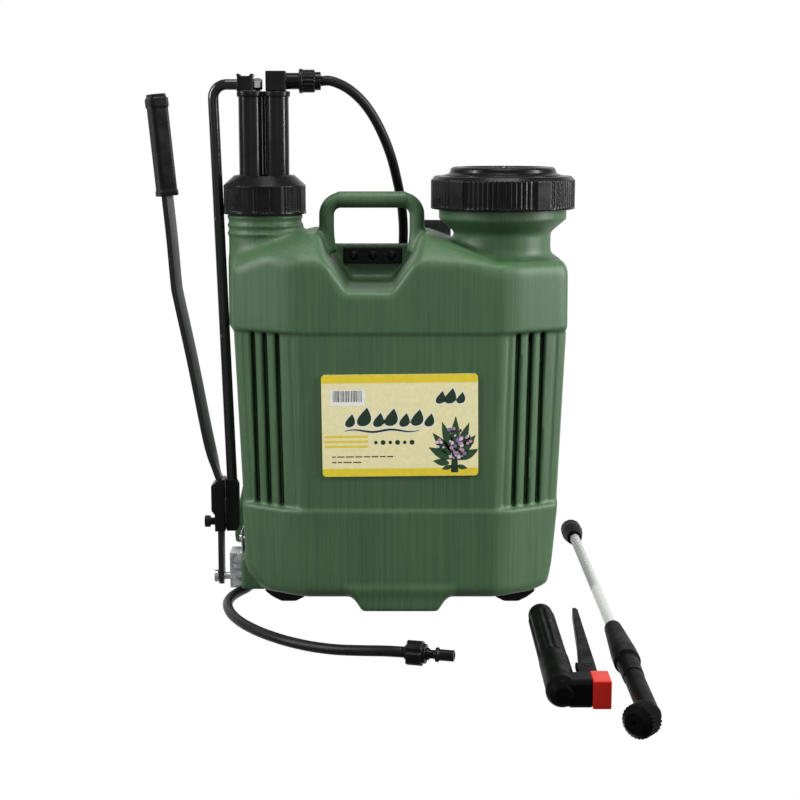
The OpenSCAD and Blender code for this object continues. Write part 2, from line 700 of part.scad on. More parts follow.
module valve_grip() {
    color(black) at_valve() difference() {
        union() {
            translate([0, 66, 0]) rotate([-90, 0, 0]) cylinder(r = 10.6, h = grip_len - 66, $fn = 48);
            translate([0, 68, 0]) rotate([-90, 0, 0]) linear_extrude(grip_len - 84) polygon(teeth(10, 10.4, 11.8));
        }
        translate([0, 60, 0]) rotate([-90, 0, 0]) cylinder(r = 4, h = grip_len, $fn = 32);
        translate([0, grip_len - 22, 0]) rotate([-90, 0, 0]) cylinder(r = 6.2, h = 30, $fn = 48);
    }
}
module valve_cap() {
    color(red) at_valve() difference() {
        union() {
            translate([cap_x, -12, -11]) cube([14, 24.9, 22]);
            translate([cap_x + 9, 12, -7]) cube([5, 9, 14]);
        }
        translate([cap_x - 1, 0, 0]) rotate([0, 90, 0]) cylinder(r = 2.2, h = 5, $fn = 32);
        translate([cap_x + 2, -5, -5.4]) cube([9, 18, 10.8]);
    }
}
module valve_stem() {
    color(steel) at_valve() rotate([0, 90, 0]) union() {
        translate([0, 0, 3]) cylinder(r = 3.9, h = 10, $fn = 32);
        translate([0, 0, 3]) cylinder(r = 2, h = 27, $fn = 32);
        translate([0, 0, 28]) cylinder(r = 3.4, h = 2, $fn = 32);
    }
}
module valve_spring() {
    turns = 4;
    steps = 48;
    helix = [
        for (i = [0:steps])
            [3.1 * cos(360 * turns * i / steps), 3.1 * sin(360 * turns * i / steps), 5 * i / steps]
    ];
    color(steel) at_valve() translate([16.4, 0, 0]) rotate([0, 90, 0]) sweep(helix, 0.4, 6);
}
module trigger() {
    blade = [
        [-6, -3], [2, -7], [3, -13], [3, -29], [5.5, -29], [5.5, -12], [8, 2], [8.5, 20], [9.5, 100],
        [10.5, 166], [8.5, 171], [6, 169], [0.5, 80], [-4.5, 20], [-8, 6],
    ];
    color("#2c2d30") at_valve() translate([trigger_x, trigger_y, -5]) difference() {
        linear_extrude(10) polygon(blade);
        translate([0, 0, -1]) cylinder(r = 2.57, h = 20, $fn = 32);
        translate([0, -32, 2.7]) cube([10, 8.6, 4.6]);
    }
}
module trigger_pin() {
    color(steel) at_valve() translate([trigger_x, trigger_y, -11]) cylinder(r = 2.5, h = 22, $fn = 32);
}

// Lance, lying on the floor behind the valve
lance_z = 13.2;
handle_len = 126;
nozzle_from = lance_len + 14 - 20 + handle_len;
nozzle_run = 80;
nozzle_turn = 38;
module on_lance(y) {
    translate([lance_at.x, lance_at.y - y, lance_z]) rotate([90, 0, 0]) children();
}
module lance_nut() {
    color(black) on_lance(0) difference() {
        union() {
            linear_extrude(20) polygon(teeth(14, 10, 10.9));
            turned([[0, 20], [10.4, 20], [7.4, 42], [0, 42]]);
        }
        translate([0, 0, -1]) cylinder(r = 8, h = 15, $fn = 48);
        cylinder(r = 4.85, h = 50, $fn = 32);
    }
}
module lance_tube() {
    color(pipe_grey) on_lance(14) ring(4.8, 3.8, lance_len);
}
module lance_handle() {
    low = lance_len + 14 - 20;
    color(black) on_lance(low) difference() {
        turned([[0, 0], [6.6, 0], [7.4, 2], [10.6, 70], [10.8, 90], [9, 91], [8.4, handle_len], [0, handle_len]]);
        translate([0, 0, -1]) cylinder(r = 4.8, h = 21, $fn = 32);
        cylinder(r = 3.4, h = 200, $fn = 32);
    }
}

module at_nozzle() {
    on_lance(nozzle_from) translate([0, 0, nozzle_run]) rotate([0, -nozzle_turn, 0]) children();
}
module nozzle_elbow() {
    color(black) difference() {
        union() {
            on_lance(nozzle_from) cylinder(r = 7.8, h = nozzle_run, $fn = 48);
            at_nozzle() sphere(r = 8.4, $fn = 48);
            at_nozzle() cylinder(r = 8, h = 16, $fn = 48);
        }
        on_lance(nozzle_from - 1) cylinder(r = 3, h = nozzle_run + 1, $fn = 32);
        at_nozzle() cylinder(r = 3, h = 50, $fn = 32);
    }
}
module nozzle_disc() {
    color(steel) at_nozzle() translate([0, 0, 16]) ring(6.4, 0.9, 1.6);
}
module nozzle_cap() {
    color(black) at_nozzle() translate([0, 0, 5]) difference() {
        union() {
            linear_extrude(13) polygon(teeth(26, 12, 13));
            translate([0, 0, 13]) turned([[0, 0], [12.4, 0], [8, 4.5], [0, 4.5]]);
        }
        translate([0, 0, -1]) cylinder(r = 8.06, h = 12, $fn = 48);
        cylinder(r = 6.6, h = 14, $fn = 48);
        cylinder(r = 1.4, h = 40, $fn = 32);
    }
}

tank();
label();
pump_nut();
pump_gasket();
pump_guide();
pump_cylinder();
cylinder_foot();
foot_valve_ball();
suction_pipe();
suction_strainer();
fill_strainer();
left_skid();
right_skid();
axle();
axle_bracket();
bracket_screws();
plunger();
piston_seal();
air_chamber();
plunger_head();
outlet_elbow();
outlet_nut();
drive_rod();
rod_nut();
rod_foot();
lever_bar();
lever_hub();
lever_pin();
lever_grip();
lid();
lid_gasket();
vent_cap();
lid_ring();
strap_anchor();
strap_hooks();
left_strap();
right_strap();
left_pad();
right_pad();
strap_buckles();
hose_clips();
hose();
hose_nut();
hose_tail();
valve_body();
valve_grip();
valve_cap();
valve_stem();
valve_spring();
trigger();
trigger_pin();
lance_nut();
lance_tube();
lance_handle();
nozzle_elbow();
nozzle_cap();
nozzle_disc();
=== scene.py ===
"""Backpack sprayer: the looks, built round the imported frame. Metres, +Z up, +Y towards the wearer."""
import json
import math

import bmesh
import bpy
import numpy as np
import openvdb
from mathutils import Matrix, Vector

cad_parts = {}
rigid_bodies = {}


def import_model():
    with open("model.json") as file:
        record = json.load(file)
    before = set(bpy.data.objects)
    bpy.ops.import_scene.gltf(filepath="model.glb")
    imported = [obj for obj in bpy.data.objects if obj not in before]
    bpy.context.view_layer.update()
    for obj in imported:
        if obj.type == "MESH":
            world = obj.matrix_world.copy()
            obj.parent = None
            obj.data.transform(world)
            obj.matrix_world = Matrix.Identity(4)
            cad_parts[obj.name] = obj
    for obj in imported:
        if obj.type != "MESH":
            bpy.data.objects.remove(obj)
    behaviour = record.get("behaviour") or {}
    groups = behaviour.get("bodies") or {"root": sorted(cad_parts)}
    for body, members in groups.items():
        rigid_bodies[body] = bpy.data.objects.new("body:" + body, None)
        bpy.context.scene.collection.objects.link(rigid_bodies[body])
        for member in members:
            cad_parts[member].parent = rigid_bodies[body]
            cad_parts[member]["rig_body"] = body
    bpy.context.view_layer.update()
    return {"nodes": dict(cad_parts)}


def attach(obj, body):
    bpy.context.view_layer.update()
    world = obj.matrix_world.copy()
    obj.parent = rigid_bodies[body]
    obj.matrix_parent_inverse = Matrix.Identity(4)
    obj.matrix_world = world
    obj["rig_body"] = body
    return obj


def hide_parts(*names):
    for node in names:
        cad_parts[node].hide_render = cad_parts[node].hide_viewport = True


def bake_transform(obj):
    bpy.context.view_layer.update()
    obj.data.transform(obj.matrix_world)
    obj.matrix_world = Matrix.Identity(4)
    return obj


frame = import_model()
MM = 0.001
CAMERA_PITCH = math.radians(80.44)


# ---------------------------------------------------------------- camera, light and backdrop
def camera():
    data = bpy.data.cameras.new("camera")
    data.lens, data.sensor_width = 72.6, 36
    data.clip_start, data.clip_end = 0.01, 50
    cam = bpy.data.objects.new("camera", data)
    cam.location = (0, -1.4792, 0.43)
    cam.rotation_euler = (CAMERA_PITCH, 0, 0)
    bpy.context.scene.collection.objects.link(cam)
    bpy.context.scene.camera = cam


def softbox(name, at, aim, size, power):
    data = bpy.data.lights.new(name, "AREA")
    data.shape, data.size, data.size_y, data.energy = "RECTANGLE", size[0], size[1], power
    lamp = bpy.data.objects.new(name, data)
    lamp.location = at
    lamp.rotation_euler = (Vector(aim) - Vector(at)).to_track_quat("-Z", "Y").to_euler()
    bpy.context.scene.collection.objects.link(lamp)


def studio():
    middle = (0, 0, 0.24)
    softbox("left_box", (-2.0, -0.7, 1.2), middle, (0.30, 1.5), 50)
    softbox("right_box", (2.0, -0.45, 0.9), middle, (0.30, 1.6), 70)
    softbox("top_box", (0.1, -0.4, 2.0), middle, (0.9, 0.7), 22)
    softbox("front_box", (0.2, -2.4, 0.9), middle, (0.5, 0.5), 5)
    world = bpy.data.worlds.new("studio")
    world.use_nodes = True
    world.node_tree.nodes["Background"].inputs["Color"].default_value = (1, 1, 1, 1)
    world.node_tree.nodes["Background"].inputs["Strength"].default_value = 0.26
    bpy.context.scene.world = world
    bpy.context.scene.view_settings.view_transform = "Standard"
    # White paper lit from behind, square to the camera and past the sprayer
    mesh = bpy.data.meshes.new("backdrop")
    mesh.from_pydata([(-4, -4, 0), (4, -4, 0), (4, 4, 0), (-4, 4, 0)], [], [(0, 1, 2, 3)])
    backdrop = bpy.data.objects.new("backdrop", mesh)
    backdrop.location = (0, 2.9, -0.31)
    backdrop.rotation_euler = (CAMERA_PITCH, 0, 0)
    bpy.context.scene.collection.objects.link(backdrop)
    backdrop.data.materials.append(lit_paper())


# ---------------------------------------------------------------- materials
class Shader:
    """A material on one Principled BSDF, with small helpers for its nodes."""

    def __init__(self, name, roughness=0.5, metallic=0.0, specular=0.5, coat=0.0, sheen=0.0):
        self.material = bpy.data.materials.new(name)
        self.material.use_nodes = True
        self.nodes = self.material.node_tree.nodes
        self.links = self.material.node_tree.links
        self.bsdf = self.nodes["Principled BSDF"]
        self.bsdf.inputs["Roughness"].default_value = roughness
        self.bsdf.inputs["Metallic"].default_value = metallic
        self.bsdf.inputs["Specular IOR Level"].default_value = specular
        self.bsdf.inputs["Coat Weight"].default_value = coat
        self.bsdf.inputs["Sheen Weight"].default_value = sheen
        self.place = self.add("ShaderNodeTexCoord").outputs["Object"]

    def add(self, kind, **inputs):
        node = self.nodes.new(kind)
        for name, value in inputs.items():
            socket = node.inputs[name.replace("_", " ")]
            if isinstance(value, bpy.types.NodeSocket):
                self.links.new(value, socket)
            else:
                socket.default_value = value
        return node

    def stretched(self, scale):
        node = self.add("ShaderNodeMapping", Vector=self.place)
        node.inputs["Scale"].default_value = scale
        return node.outputs["Vector"]

    def noise(self, scale, detail=3.0, vector=None, roughness=0.5):
        vector = self.place if vector is None else vector
        node = self.add("ShaderNodeTexNoise", Vector=vector, Scale=scale, Detail=detail, Roughness=roughness)
        return node.outputs["Fac"]

    def ramp(self, factor, *stops):
        node = self.add("ShaderNodeValToRGB", Fac=factor)
        ramp = node.color_ramp
        while len(ramp.elements) < len(stops):
            ramp.elements.new(0.5)
        for element, (where, colour) in zip(ramp.elements, stops):
            element.position = where
            element.color = colour if len(colour) == 4 else (*colour, 1)
        return node.outputs["Color"]

    def mix(self, factor, a, b):
        node = self.nodes.new("ShaderNodeMix")
        node.data_type = "RGBA"
        for socket, value in zip((node.inputs[0], node.inputs[6], node.inputs[7]), (factor, a, b)):
            if isinstance(value, bpy.types.NodeSocket):
                self.links.new(value, socket)
            elif isinstance(value, (int, float)):
                socket.default_value = value
            else:
                socket.default_value = (*value, 1)
        return node.outputs[2]

    def spread(self, factor, low, high, start=0.0, end=1.0):
        node = self.add("ShaderNodeMapRange", Value=factor)
        for name, value in (("From Min", start), ("From Max", end), ("To Min", low), ("To Max", high)):
            node.inputs[name].default_value = value
        return node.outputs["Result"]

    def total(self, a, b, weight=1.0):
        scaled = self.add("ShaderNodeMath")
        scaled.operation = "MULTIPLY_ADD"
        self.links.new(b, scaled.inputs[0])
        scaled.inputs[1].default_value = weight
        self.links.new(a, scaled.inputs[2])
        return scaled.outputs[0]

    def bump(self, height, distance, strength=1.0):
        node = self.add("ShaderNodeBump", Height=height, Distance=distance, Strength=strength)
        self.links.new(node.outputs["Normal"], self.bsdf.inputs["Normal"])

    def colour(self, value):
        self.links.new(value, self.bsdf.inputs["Base Color"])

    def rough(self, value):
        self.links.new(value, self.bsdf.inputs["Roughness"])

    def edges(self, low, high):
        return self.spread(self.add("ShaderNodeNewGeometry").outputs["Pointiness"], 0, 1, low, high)


def lit_paper():
    s = Shader("lit_paper", roughness=1.0, specular=0.0)
    s.bsdf.inputs["Base Color"].default_value = (0, 0, 0, 1)
    s.bsdf.inputs["Emission Color"].default_value = (1, 1, 1, 1)
    s.bsdf.inputs["Emission Strength"].default_value = 1.0
    return s.material


def green_polyethylene():
    """Blow-moulded tank: fine vertical drag lines, mottling and paler edges."""
    s = Shader("green_polyethylene", specular=0.42)
    drag = s.noise(1.0, 6, s.stretched((520, 520, 7)), 0.62)
    broad = s.noise(1.0, 3, s.stretched((60, 60, 3)))
    mottle = s.noise(14, 4)
    base = s.ramp(mottle, (0.3, (0.034, 0.084, 0.033)), (0.7, (0.045, 0.100, 0.042)))
    base = s.mix(s.spread(drag, 0.0, 0.75, 0.5, 0.72), base, (0.062, 0.122, 0.056))
    base = s.mix(s.spread(drag, 0.75, 0.0, 0.28, 0.46), base, (0.024, 0.062, 0.023))
    base = s.mix(s.spread(broad, 0.0, 0.35, 0.45, 0.75), base, (0.056, 0.112, 0.050))
    base = s.mix(s.edges(0.515, 0.58), base, (0.095, 0.165, 0.085))
    s.colour(base)
    s.rough(s.total(s.spread(mottle, 0.40, 0.52), drag, 0.08))
    s.bump(s.total(s.noise(900, 2), drag, 0.8), 0.00006, 0.55)
    return s.material


def black_moulding(name="black_moulding", roughness=0.27, grain=1400, shade=0.0035, shine=0.15):
    """Satin black plastic with a fine grain, faint dust and worn edges."""
    s = Shader(name, specular=shine)
    dust = s.noise(38, 5, roughness=0.65)
    base = s.ramp(dust, (0.35, (shade, shade, shade * 1.05)), (0.8, (shade * 2.2, shade * 2.2, shade * 2.3)))
    base = s.mix(s.edges(0.54, 0.66), base, (0.011, 0.011, 0.0115))
    s.colour(base)
    s.rough(s.spread(s.noise(70, 4), roughness - 0.07, roughness + 0.12, 0.3, 0.7))
    s.bump(s.total(s.noise(grain, 2), s.noise(160, 3), 0.8), 0.00005, 0.5)
    return s.material


def black_enamel():
    """Painted steel: glossy, with lengthways brush lines and small chips."""
    s = Shader("black_enamel", specular=0.45, coat=0.3)
    lines = s.noise(1.0, 4, s.stretched((900, 900, 14)))
    chips = s.spread(s.noise(210, 3, roughness=0.7), 0, 1, 0.70, 0.72)
    base = s.ramp(lines, (0.3, (0.004, 0.004, 0.0045)), (0.75, (0.009, 0.009, 0.0095)))
    s.colour(s.mix(chips, base, (0.12, 0.115, 0.11)))
    s.rough(s.spread(lines, 0.12, 0.22, 0.3, 0.7))
    s.bump(s.total(lines, s.noise(60, 2), 2.0), 0.00004, 0.5)
    return s.material


def bar_steel_painted_lit_flats():
    """The lever's bar: grey on its broad flats as a painted highlight of their lit side, with streaks and
    patches.
    """
    s = Shader("bar_steel_painted_lit_flats", metallic=0.1, specular=0.4)
    lines = s.noise(1.0, 5, s.stretched((700, 260, 10)), 0.6)
    patch = s.noise(24, 4, roughness=0.6)
    # Painted highlight: this grey ramp gives the flats the look of their lit side, over a bar that is black
    base = s.ramp(patch, (0.30, (0.07, 0.07, 0.071)), (0.62, (0.10, 0.10, 0.10)), (0.85, (0.15, 0.15, 0.148)))
    base = s.mix(s.spread(lines, 0, 0.6, 0.45, 0.8), base, (0.12, 0.12, 0.118))
    s.colour(base)
    s.rough(s.spread(patch, 0.32, 0.5, 0.3, 0.7))
    s.bump(lines, 0.00006, 0.5)
    return s.material


def zinc_plate():
    """Galvanised sheet with spangle."""
    s = Shader("zinc_plate", metallic=0.9, roughness=0.35)
    cells = s.add("ShaderNodeTexVoronoi", Vector=s.place, Scale=260.0).outputs["Color"]
    grain = s.add("ShaderNodeSeparateColor", Color=cells).outputs["Red"]
    base = s.ramp(grain, (0.0, (0.42, 0.43, 0.45)), (1.0, (0.72, 0.73, 0.75)))
    white_rust = s.spread(s.noise(130, 5, roughness=0.7), 0, 0.7, 0.56, 0.7)
    s.colour(s.mix(white_rust, base, (0.60, 0.60, 0.58)))
    s.rough(s.spread(grain, 0.28, 0.5))
    s.bump(s.noise(700, 3), 0.00005, 0.4)
    return s.material


def bright_steel():
    s = Shader("bright_steel", metallic=1.0, roughness=0.28)
    lines = s.noise(1.0, 4, s.stretched((900, 900, 60)))
    s.colour(s.ramp(lines, (0.3, (0.48, 0.49, 0.50)), (0.7, (0.66, 0.67, 0.68))))
    s.bump(lines, 0.00003, 0.4)
    return s.material


def grey_pipe_coat():
    """The lance's tube: pale grey, faintly mottled and dull."""
    s = Shader("grey_pipe_coat", specular=0.45)
    mottle = s.noise(260, 5, roughness=0.7)
    streak = s.noise(1.0, 3, s.stretched((320, 12, 320)))
    base = s.ramp(mottle, (0.3, (0.36, 0.37, 0.36)), (0.7, (0.44, 0.45, 0.44)))
    s.colour(s.mix(s.spread(streak, 0, 0.5, 0.5, 0.8), base, (0.31, 0.32, 0.31)))
    s.rough(s.spread(mottle, 0.34, 0.5, 0.3, 0.7))
    s.bump(mottle, 0.00005, 0.6)
    return s.material


def red_moulding():
    s = Shader("red_moulding", specular=0.25)
    patch = s.noise(90, 4)
    base = s.ramp(patch, (0.3, (0.42, 0.010, 0.003)), (0.7, (0.50, 0.009, 0.003)))
    s.colour(s.mix(s.edges(0.56, 0.66), base, (0.56, 0.03, 0.012)))
    s.rough(s.spread(patch, 0.28, 0.42, 0.3, 0.7))
    s.bump(s.noise(1200, 2), 0.00005, 0.5)
    return s.material


def hose_rubber():
    s = Shader("hose_cover", specular=0.2)
    patch = s.noise(55, 4)
    s.colour(s.ramp(patch, (0.3, (0.004, 0.004, 0.0045)), (0.75, (0.010, 0.010, 0.0105))))
    s.rough(s.spread(patch, 0.34, 0.5, 0.3, 0.7))
    s.bump(s.total(s.noise(800, 3), s.noise(120, 2), 1.5), 0.00006, 0.5)
    return s.material


def clear_tube():
    s = Shader("unpigmented_plastic", specular=0.5, roughness=0.3)
    s.colour(s.ramp(s.noise(80, 4), (0.3, (0.62, 0.60, 0.52)), (0.7, (0.70, 0.68, 0.60))))
    s.bump(s.noise(900, 2), 0.00004, 0.4)
    return s.material


def seal_rubber():
    s = Shader("seal_rubber", specular=0.35, roughness=0.6)
    s.colour(s.ramp(s.noise(120, 4), (0.3, (0.012, 0.012, 0.012)), (0.7, (0.028, 0.028, 0.028))))
    s.bump(s.noise(1500, 3), 0.00006, 0.5)
    return s.material


def woven(name, scale, low, high, sheen):
    """Cloth from two crossed sets of threads."""
    s = Shader(name, roughness=0.85, specular=0.25, sheen=sheen)
    over = s.add("ShaderNodeTexWave", Vector=s.place, Scale=scale, Distortion=0.6, Detail=2.0)
    over.bands_direction = "X"
    under = s.add("ShaderNodeTexWave", Vector=s.place, Scale=scale, Distortion=0.6, Detail=2.0)
    under.bands_direction = "Z"
    cross = s.add("ShaderNodeMath")
    cross.operation = "MAXIMUM"
    s.links.new(over.outputs["Fac"], cross.inputs[0])
    s.links.new(under.outputs["Fac"], cross.inputs[1])
    fuzz = s.noise(420, 4)
    shade = s.total(cross.outputs[0], fuzz, 0.5)
    s.colour(s.ramp(shade, (0.3, low), (1.2 / 1.5, high)))
    s.bump(shade, 0.0002, 0.7)
    return s.material


def printed(name, colour, rough=0.32):
    """Ink on the label's film, with a little mottle."""
    s = Shader(name, specular=0.45)
    mottle = s.noise(240, 4)
    dark = tuple(c * 0.9 for c in colour)
    s.colour(s.ramp(mottle, (0.3, dark), (0.7, colour)))
    s.rough(s.spread(s.noise(40, 3), rough - 0.06, rough + 0.1))
    s.bump(s.noise(30, 2), 0.0002, 0.15)
    return s.material


# ---------------------------------------------------------------- mesh helpers
def piece(name, mesh, body, slot, *materials):
    obj = bpy.data.objects.new(name, mesh)
    bpy.context.scene.collection.objects.link(obj)
    for material in materials:
        mesh.materials.append(material)
    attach(obj, body)
    return obj


def new_mesh(name, points, faces, smooth=True):
    mesh = bpy.data.meshes.new(name)
    mesh.from_pydata([tuple(p) for p in points], [], [tuple(f) for f in faces])
    mesh.update()
    bm = bmesh.new()
    bm.from_mesh(mesh)
    bmesh.ops.remove_doubles(bm, verts=bm.verts, dist=1e-7)
    bmesh.ops.recalc_face_normals(bm, faces=bm.faces)
    bm.to_mesh(mesh)
    bm.free()
    if smooth:
        mesh.shade_smooth()
    return mesh


def modify(obj, kind, **settings):
    modifier = obj.modifiers.new(kind.lower(), kind)
    for name, value in settings.items():
        setattr(modifier, name, value)
    return modifier


def fillet(points, radius, steps=4):
    """The closed outline with each corner turned into an arc of the radius, or of what fits."""
    out = []
    count = len(points)
    for i, p in enumerate(points):
        r = radius[i] if isinstance(radius, (list, tuple)) else radius
        p, a, b = Vector(p), Vector(points[i - 1]), Vector(points[(i + 1) % count])
        u, v = (a - p).normalized(), (b - p).normalized()
        half = u.angle(v) / 2
        if r <= 0 or half > math.radians(88):
            out.append(tuple(p))
            continue
        reach = min(r / math.tan(half), 0.48 * (a - p).length, 0.48 * (b - p).length)
        real = reach * math.tan(half)
        centre = p + (u + v).normalized() * real / math.sin(half)
        start, end = p + u * reach - centre, p + v * reach - centre
        for k in range(steps + 1):
            out.append(tuple(centre + start.slerp(end, k / steps).normalized() * real))
    return out


def lathe(name, outline, at, turn, segments):
    """A closed outline of radius and height in mm, turned round the local Z axis at a place in mm."""
    points, faces = [], []
    place = Matrix.Translation(Vector(at) * MM) @ turn
    part_turn = 2 * math.pi / segments
    for r, z in outline:
        for k in range(segments):
            a = k * part_turn
            points.append(place @ (Vector((r * math.cos(a), r * math.sin(a), z)) * MM))
    rows = len(outline)
    for i in range(rows):
        j = (i + 1) % rows
        for k in range(segments):
            m = (k + 1) % segments
            faces.append((i * segments + k, i * segments + m, j * segments + m, j * segments + k))
    return new_mesh(name, points, faces)


# ---------------------------------------------------------------- solids as distance fields, in mm
def outline_distance(points, u, v):
    """Signed distance to a polygon, negative inside."""
    nearest = np.full(np.broadcast(u, v).shape, 1e9, np.float32)
    inside = np.zeros(nearest.shape, bool)
    for (ax, ay), (bx, by) in zip(points, points[1:] + points[:1]):
        ex, ey = bx - ax, by - ay
        if ex == ey == 0:
            continue
        t = np.clip(((u - ax) * ex + (v - ay) * ey) / (ex * ex + ey * ey), 0, 1)
        nearest = np.minimum(nearest, (u - ax - ex * t) ** 2 + (v - ay - ey * t) ** 2)
        if ey:
            inside ^= ((ay <= v) != (by <= v)) & (u < ax + (v - ay) * ex / ey)
    nearest = np.sqrt(nearest)
    return np.where(inside, -nearest, nearest).astype(np.float32)


def both(a, b, k):
    """Intersection with its edge rounded over k."""
    h = np.maximum(k - np.abs(a - b), 0) / k
    return np.maximum(a, b) + h * h * k / 4


def either(a, b, k):
    """Union with a fillet over k."""
    h = np.maximum(k - np.abs(a - b), 0) / k
    return np.minimum(a, b) - h * h * k / 4


def blurred(field, passes):
    for _ in range(passes):
        for axis in range(field.ndim):
            padded = np.concatenate(
                [field.take([0], axis), field, field.take([-1], axis)], axis
            )
            size = field.shape[axis]
            low, mid, high = (padded.take(range(s, s + size), axis) for s in (0, 1, 2))
            field = (low + 2 * mid + high) / 4
    return field


def field_mesh(name, field, low, step):
    """The surface where the field is zero, as quads. low is the field's first point, in mm."""
    grid = openvdb.FloatGrid(background=3 * step)
    grid.copyFromArray(np.clip(field, -3 * step, 3 * step).astype(np.float64))
    points, quads = grid.convertToQuads(isovalue=0.0)
    points = (points * step + np.array(low)) * MM
    mesh = bpy.data.meshes.new(name)
    mesh.vertices.add(len(points))
    mesh.vertices.foreach_set("co", points.astype(np.float32).ravel())
    mesh.loops.add(quads.size)
    mesh.loops.foreach_set("vertex_index", quads[:, ::-1].astype(np.int32).ravel())
    mesh.polygons.add(len(quads))
    mesh.polygons.foreach_set("loop_start", np.arange(0, quads.size, 4, dtype=np.int32))
    mesh.update(calc_edges=True)
    mesh.validate()
    mesh.shade_smooth()
    return mesh


def softened(node, voxel=0.6, passes=2, swell=0.0):
    """A copy of a CAD node's solid with its sharp edges melted, the way a moulding has them."""
    source = frame["nodes"][node].data
    source.calc_loop_triangles()
    points = np.array([v.co for v in source.vertices]) / (voxel * MM)
    triangles = np.array([t.vertices for t in source.loop_triangles], np.int32)
    band = passes + 3
    grid = openvdb.FloatGrid.createLevelSetFromPolygons(points, triangles=triangles, halfWidth=band)
    low = np.floor(points.min(0)).astype(int) - band
    high = np.ceil(points.max(0)).astype(int) + band
    field = np.empty(high - low + 1, np.float64)
    grid.copyToArray(field, ijk=tuple(int(i) for i in low))
    field = blurred(field, passes)
    return field_mesh(node + "_soft", field * voxel - swell, low * voxel, voxel)


# ---------------------------------------------------------------- the tank, in mm as in the CAD
FRONT, BACK, FLOOR = -80, 76, 10
HALF_WIDTH = 154.6
PLAN = [
    (-90, -80), (90, -80), (150, -46), (155, -32), (155, 46), (141, 68), (112, 76), (52, 69),
    (-52, 69), (-112, 76), (-141, 68), (-155, 46), (-155, -32), (-150, -46),
]
FACE = [
    (-124, FLOOR), (120, FLOOR), (136, 17), (141, 37), (149, 97), (155, 240), (154, 306), (146, 314),
    (84, 314), (20, 341), (-78, 341), (-138, 317), (-154, 310), (-155, 240), (-146, 33),
]
SIDE = [(-74, FLOOR), (70, FLOOR), (77, 27), (77, 322), (60, 341), (-44, 341), (-80, 314), (-80, 20)]
FOOT = [(-48, 22), (-34, 0), (34, 0), (48, 22)]
HOOD = [(-120, 102), (-150, 102), (-157, 72), (-163, 52), (-163, 42), (-158, 37), (-120, 37)]
HOOD_LIP = [(-120, 44), (-161, 44), (-163, 36), (-162, 28), (-156, 26), (-148, 35), (-120, 35)]
NOTCH = [(-77, 352), (-66, 318), (-46, 290), (-7, 290), (13, 318), (24, 352)]
BAND = (94, 252)
PUMP = (-123.5, 5)
MOUTH = (93.5, 0)
# The pleated corners: where the front ends, how far they turn, and their slots and grooves from the middle
CORNER_X = 90
CORNER_TURN = math.radians(29.5)
SLOTS = (128.9, 117.9, 106.3)
SLOT_MIDDLE = -2.2
GROOVES = (97.5, 141)
# (height, x) of the wall beside the pump's well, which stays inside the narrowing tank
WELL_WALL = [
    (70, -138.8), (80, -140.5), (186, -140.5), (190, -143.5), (199, -143.5), (203, -146.9),
    (262, -146.9), (268, -151.5), (335, -151.5), (339, -160),
]


